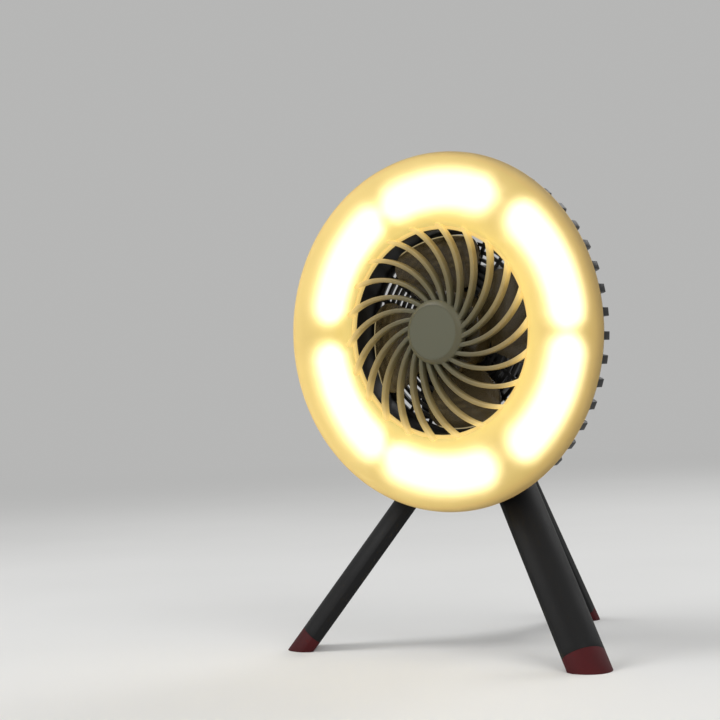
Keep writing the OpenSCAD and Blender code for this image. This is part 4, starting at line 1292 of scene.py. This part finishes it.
drum = lathe_plug([(HUB_R - 0.8, HUB_TOP - HUB_H), (HUB_R, HUB_TOP - HUB_H + 0.8), (HUB_R, HUB_TOP)])
for turn in LEG_TURNS.values():
    slot = block(HINGE_R - BARREL_R - SLIP, 2 * HUB_R, -TONGUE_W / 2 - SLIP, TONGUE_W / 2 + SLIP,
                 HUB_TOP - 2 * HUB_H, HUB_TOP + 2)
    slot.rotation_euler.z = turn
    apply_place(slot)
    carve(drum, slot)
soften(drum, 0.4, segments=2)
moved(drum, tripod_y)
finished(drum, "leg_drum", plastic_legs, "stand", "leg_plastic", "leg_hub")

# %% [markdown]
# ## The legs
#
# A leg is a long moulded channel. From outside it is a broad, slightly round bar, and inside
# it is hollow, with cross walls. It starts as a cylinder, because its outer face is part of
# one. Flat cuts give it its width and its back, the back is cut into fields, and each field is
# inset and pushed in.

# %% One leg, hanging down from its hinge
LEG_W = 25.0
LEG_T = 12.6
LEG_ARC_R = 14.0
LEG_BEVEL = 1.4
DIAGONAL = 0.7071       # both parts of a direction at 45 degrees
LEG_PIN_R = 1.5
SLOPE_L = 9.0           # height of the slopes at its top, down which it grows to its full width
FOOT_L = 11.5
LEG_TOP = 13.4
LEG_END = LEG_REACH - FOOT_L
FIELD_COUNT = 5
FIELD_TOP = -LEG_TOP - 11.1
FIELD_LOW = -LEG_END + 3.1
FIELD_RIM = 1.2
FIELD_DEPTH = 7.7


def leg_bar(low, high):
    """The leg's section between two heights: round outside, flat inside."""
    arc_x = LEG_T / 2 - LEG_ARC_R
    piece = rod(LEG_ARC_R, (arc_x, 0, low), (arc_x, 0, high), 160)
    cut(piece, (-LEG_T / 2, 0, 0), (-1, 0, 0))
    for side in (1, -1):
        cut(piece, (0, side * LEG_W / 2, 0), (0, side, 0))
        cut(piece, (-LEG_T / 2, side * (LEG_W / 2 - LEG_BEVEL), 0), (-DIAGONAL, side * DIAGONAL, 0))
    return piece


def leg():
    """The bar with its hollow fields, and the tongue that turns on the hinge pin."""
    bar = leg_bar(-LEG_END, -LEG_TOP)
    slope = Vector((0, SLOPE_L, LEG_W / 2 - TONGUE_W / 2)).normalized()
    for side in (1, -1):
        cut(bar, (0, side * TONGUE_W / 2, -LEG_TOP), (0, side * slope.y, slope.z))
    edit(bar)
    for k in range(FIELD_COUNT + 1):
        score((0, 0, FIELD_LOW + (FIELD_TOP - FIELD_LOW) * k / FIELD_COUNT), (0, 0, 1))
    pick(bar, lambda f: f.normal.x < -0.99 and FIELD_LOW < middle(f).z < FIELD_TOP)
    bpy.ops.mesh.inset(thickness=FIELD_RIM * MM, use_individual=True)
    push(x=FIELD_DEPTH)
    bpy.ops.object.mode_set(mode="OBJECT")
    soften(bar, 0.7, angle=28)
    tongue = block(-BARREL_R, BARREL_R, -TONGUE_W / 2, TONGUE_W / 2, -LEG_TOP - 6, BARREL_R)
    edit(tongue)
    pick(tongue, lambda e: abs(middle(e).z - BARREL_R) < NEAR and abs(middle(e).x) > BARREL_R - NEAR, "EDGE")
    bpy.ops.mesh.bevel(offset=(BARREL_R - 0.02) * MM, segments=10, affect="EDGES")
    bpy.ops.object.mode_set(mode="OBJECT")
    carve(tongue, rod(LEG_PIN_R + PIN_GAP, (0, -TONGUE_W, 0), (0, TONGUE_W, 0), 32))
    soften(tongue, 0.3, segments=2)
    return join([bar, tongue])


# %% Swinging a leg or boot out to its place
def swing_out(piece, turn):
    """Puts a piece on a leg's hinge, spread out, and turned about the tripod's axis."""
    place = (Matrix.Translation((0, tripod_y * MM, 0)) @ Matrix.Rotation(turn, 4, "Z")
             @ Matrix.Translation((HINGE_R * MM, 0, HINGE_Z * MM)) @ Matrix.Rotation(-LEG_SPREAD, 4, "Y"))
    piece.matrix_world = place
    apply_place(piece)
    return piece


straight_leg = leg()
for name, turn in LEG_TURNS.items():
    copy = swing_out(twin(straight_leg), turn)
    finished(copy, "leg_bar_" + name, plastic_legs, "leg_" + name, "leg_plastic", "leg_" + name)
bpy.data.objects.remove(straight_leg, do_unlink=True)

# %% [markdown]
# ## Rubber boots
#
# Each leg ends in a dark red boot. It carries the leg's section on, so the same bar is used for
# it, and it is cut flat where it meets the floor. Rubber never has a sharp edge, so the sole's
# rim is rounded more than the plastic is.

# %% Boots
straight_boot = leg_bar(-LEG_REACH - LEG_T, -LEG_END)
for name, turn in LEG_TURNS.items():
    copy = swing_out(twin(straight_boot), turn)
    cut(copy, (0, 0, 0), (0, 0, -1))
    soften(copy, 1.0, segments=4, angle=28)
    finished(copy, "boot_" + name, rubber_red, "leg_" + name, "red_rubber", "foot_" + name)
bpy.data.objects.remove(straight_boot, do_unlink=True)

# %% [markdown]
# ## Floor and light
#
# The fan stands on a plain pale floor, under three soft area lamps. The lamps only reach the
# floor near the fan, so a plain floor would grow dark towards the horizon. Far from the fan it
# therefore turns into the same pale grey as the room behind it. Only the eye, mirrors and clear
# parts see that grey, which the Light Path node tells apart, so it adds no light to the fan.

# %% A pale floor
BACKDROP = (0.47, 0.47, 0.465, 1)
FLOOR_SIZE = 12                 # metres
FLOOR_FADE = (0.5, 2.2)         # the floor turns into the backdrop between these distances


def seen_directly(tree):
    """1 for rays from the camera, a mirror or through clear plastic, and 0 for light on a surface."""
    path = tree.nodes.new("ShaderNodeLightPath").outputs
    total = path["Is Camera Ray"]
    for kind in ("Is Glossy Ray", "Is Transmission Ray"):
        larger = tree.nodes.new("ShaderNodeMath")
        larger.operation = "MAXIMUM"
        tree.links.new(total, larger.inputs[0])
        tree.links.new(path[kind], larger.inputs[1])
        total = larger.outputs[0]
    return total


def pale_floor():
    """A big plane, painted pale, which turns into the backdrop far from the fan."""
    floor = Recipe("pale_floor")
    tone = floor.ramp(floor.noise(3), (0.3, (0.76, 0.76, 0.75, 1)), (0.7, (0.8, 0.8, 0.79, 1)))
    floor.set(base_color=tone, roughness=0.7)
    away = floor.add("VectorMath", {0: floor.place}, operation="LENGTH").outputs["Value"]
    far = floor.add("MapRange", {"Value": away, "From Min": FLOOR_FADE[0], "From Max": FLOOR_FADE[1]},
                    interpolation_type="SMOOTHSTEP").outputs["Result"]
    plain = floor.add("Emission", {"Color": BACKDROP})
    both = floor.add("MixShader", {0: floor.math("MULTIPLY", far, seen_directly(floor.tree))})
    floor.tree.links.new(floor.shader.outputs[0], both.inputs[1])
    floor.tree.links.new(plain.outputs[0], both.inputs[2])
    floor.tree.links.new(both.outputs[0], floor.tree.nodes["Material Output"].inputs["Surface"])
    let_go()
    bpy.ops.mesh.primitive_plane_add(size=FLOOR_SIZE, location=(0, 0, 0))
    plane = bpy.context.object
    plane.name = "floor"
    plane.data.materials.append(floor.material)
    plane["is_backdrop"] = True


pale_floor()
print("floor:", FLOOR_SIZE, "m wide")

# %% The room's light, and the grey behind the fan
ROOM_LIGHT = 0.45


def soft_room():
    """Even light from all round, and the pale grey that stands behind the fan."""
    world = bpy.data.worlds.new("soft_room")
    world.use_nodes = True
    tree = world.node_tree
    light = tree.nodes["Background"]
    light.inputs["Color"].default_value = (0.9, 0.9, 0.9, 1)
    light.inputs["Strength"].default_value = ROOM_LIGHT
    backdrop = tree.nodes.new("ShaderNodeBackground")
    backdrop.inputs["Color"].default_value = BACKDROP
    both = tree.nodes.new("ShaderNodeMixShader")
    tree.links.new(seen_directly(tree), both.inputs[0])
    tree.links.new(light.outputs[0], both.inputs[1])
    tree.links.new(backdrop.outputs[0], both.inputs[2])
    tree.links.new(both.outputs[0], tree.nodes["World Output"].inputs["Surface"])
    bpy.context.scene.world = world


soft_room()
print("room light:", ROOM_LIGHT)

# %% Lamps, each with its place, its size in metres and its power in watts
LAMPS = (((-0.9, -1.0, 1.3), 0.9, 14), ((1.2, -0.7, 1.0), 1.0, 9), ((0.2, 1.4, 1.2), 0.9, 8))


def add_lamps():
    """Soft lamps that face the fan."""
    for spot, size, power in LAMPS:
        bpy.ops.object.light_add(type="AREA", location=spot)
        lamp = bpy.context.object
        lamp.data.size = size
        lamp.data.energy = power
        lamp.rotation_euler = (at_head(0, -20, 0) - Vector(spot)).to_track_quat("-Z", "Y").to_euler()


add_lamps()
bpy.context.scene.view_settings.view_transform = "Standard"
print("lamps:", len(LAMPS))

# %% The visual model's box, and the last checks
visual_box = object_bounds()
grown = [round((v - c) / MM, 2) for vs, cs in zip(visual_box, cad_box) for v, c in zip(vs, cs)]
print("the visual model's corners against the CAD's, mm:", grown)
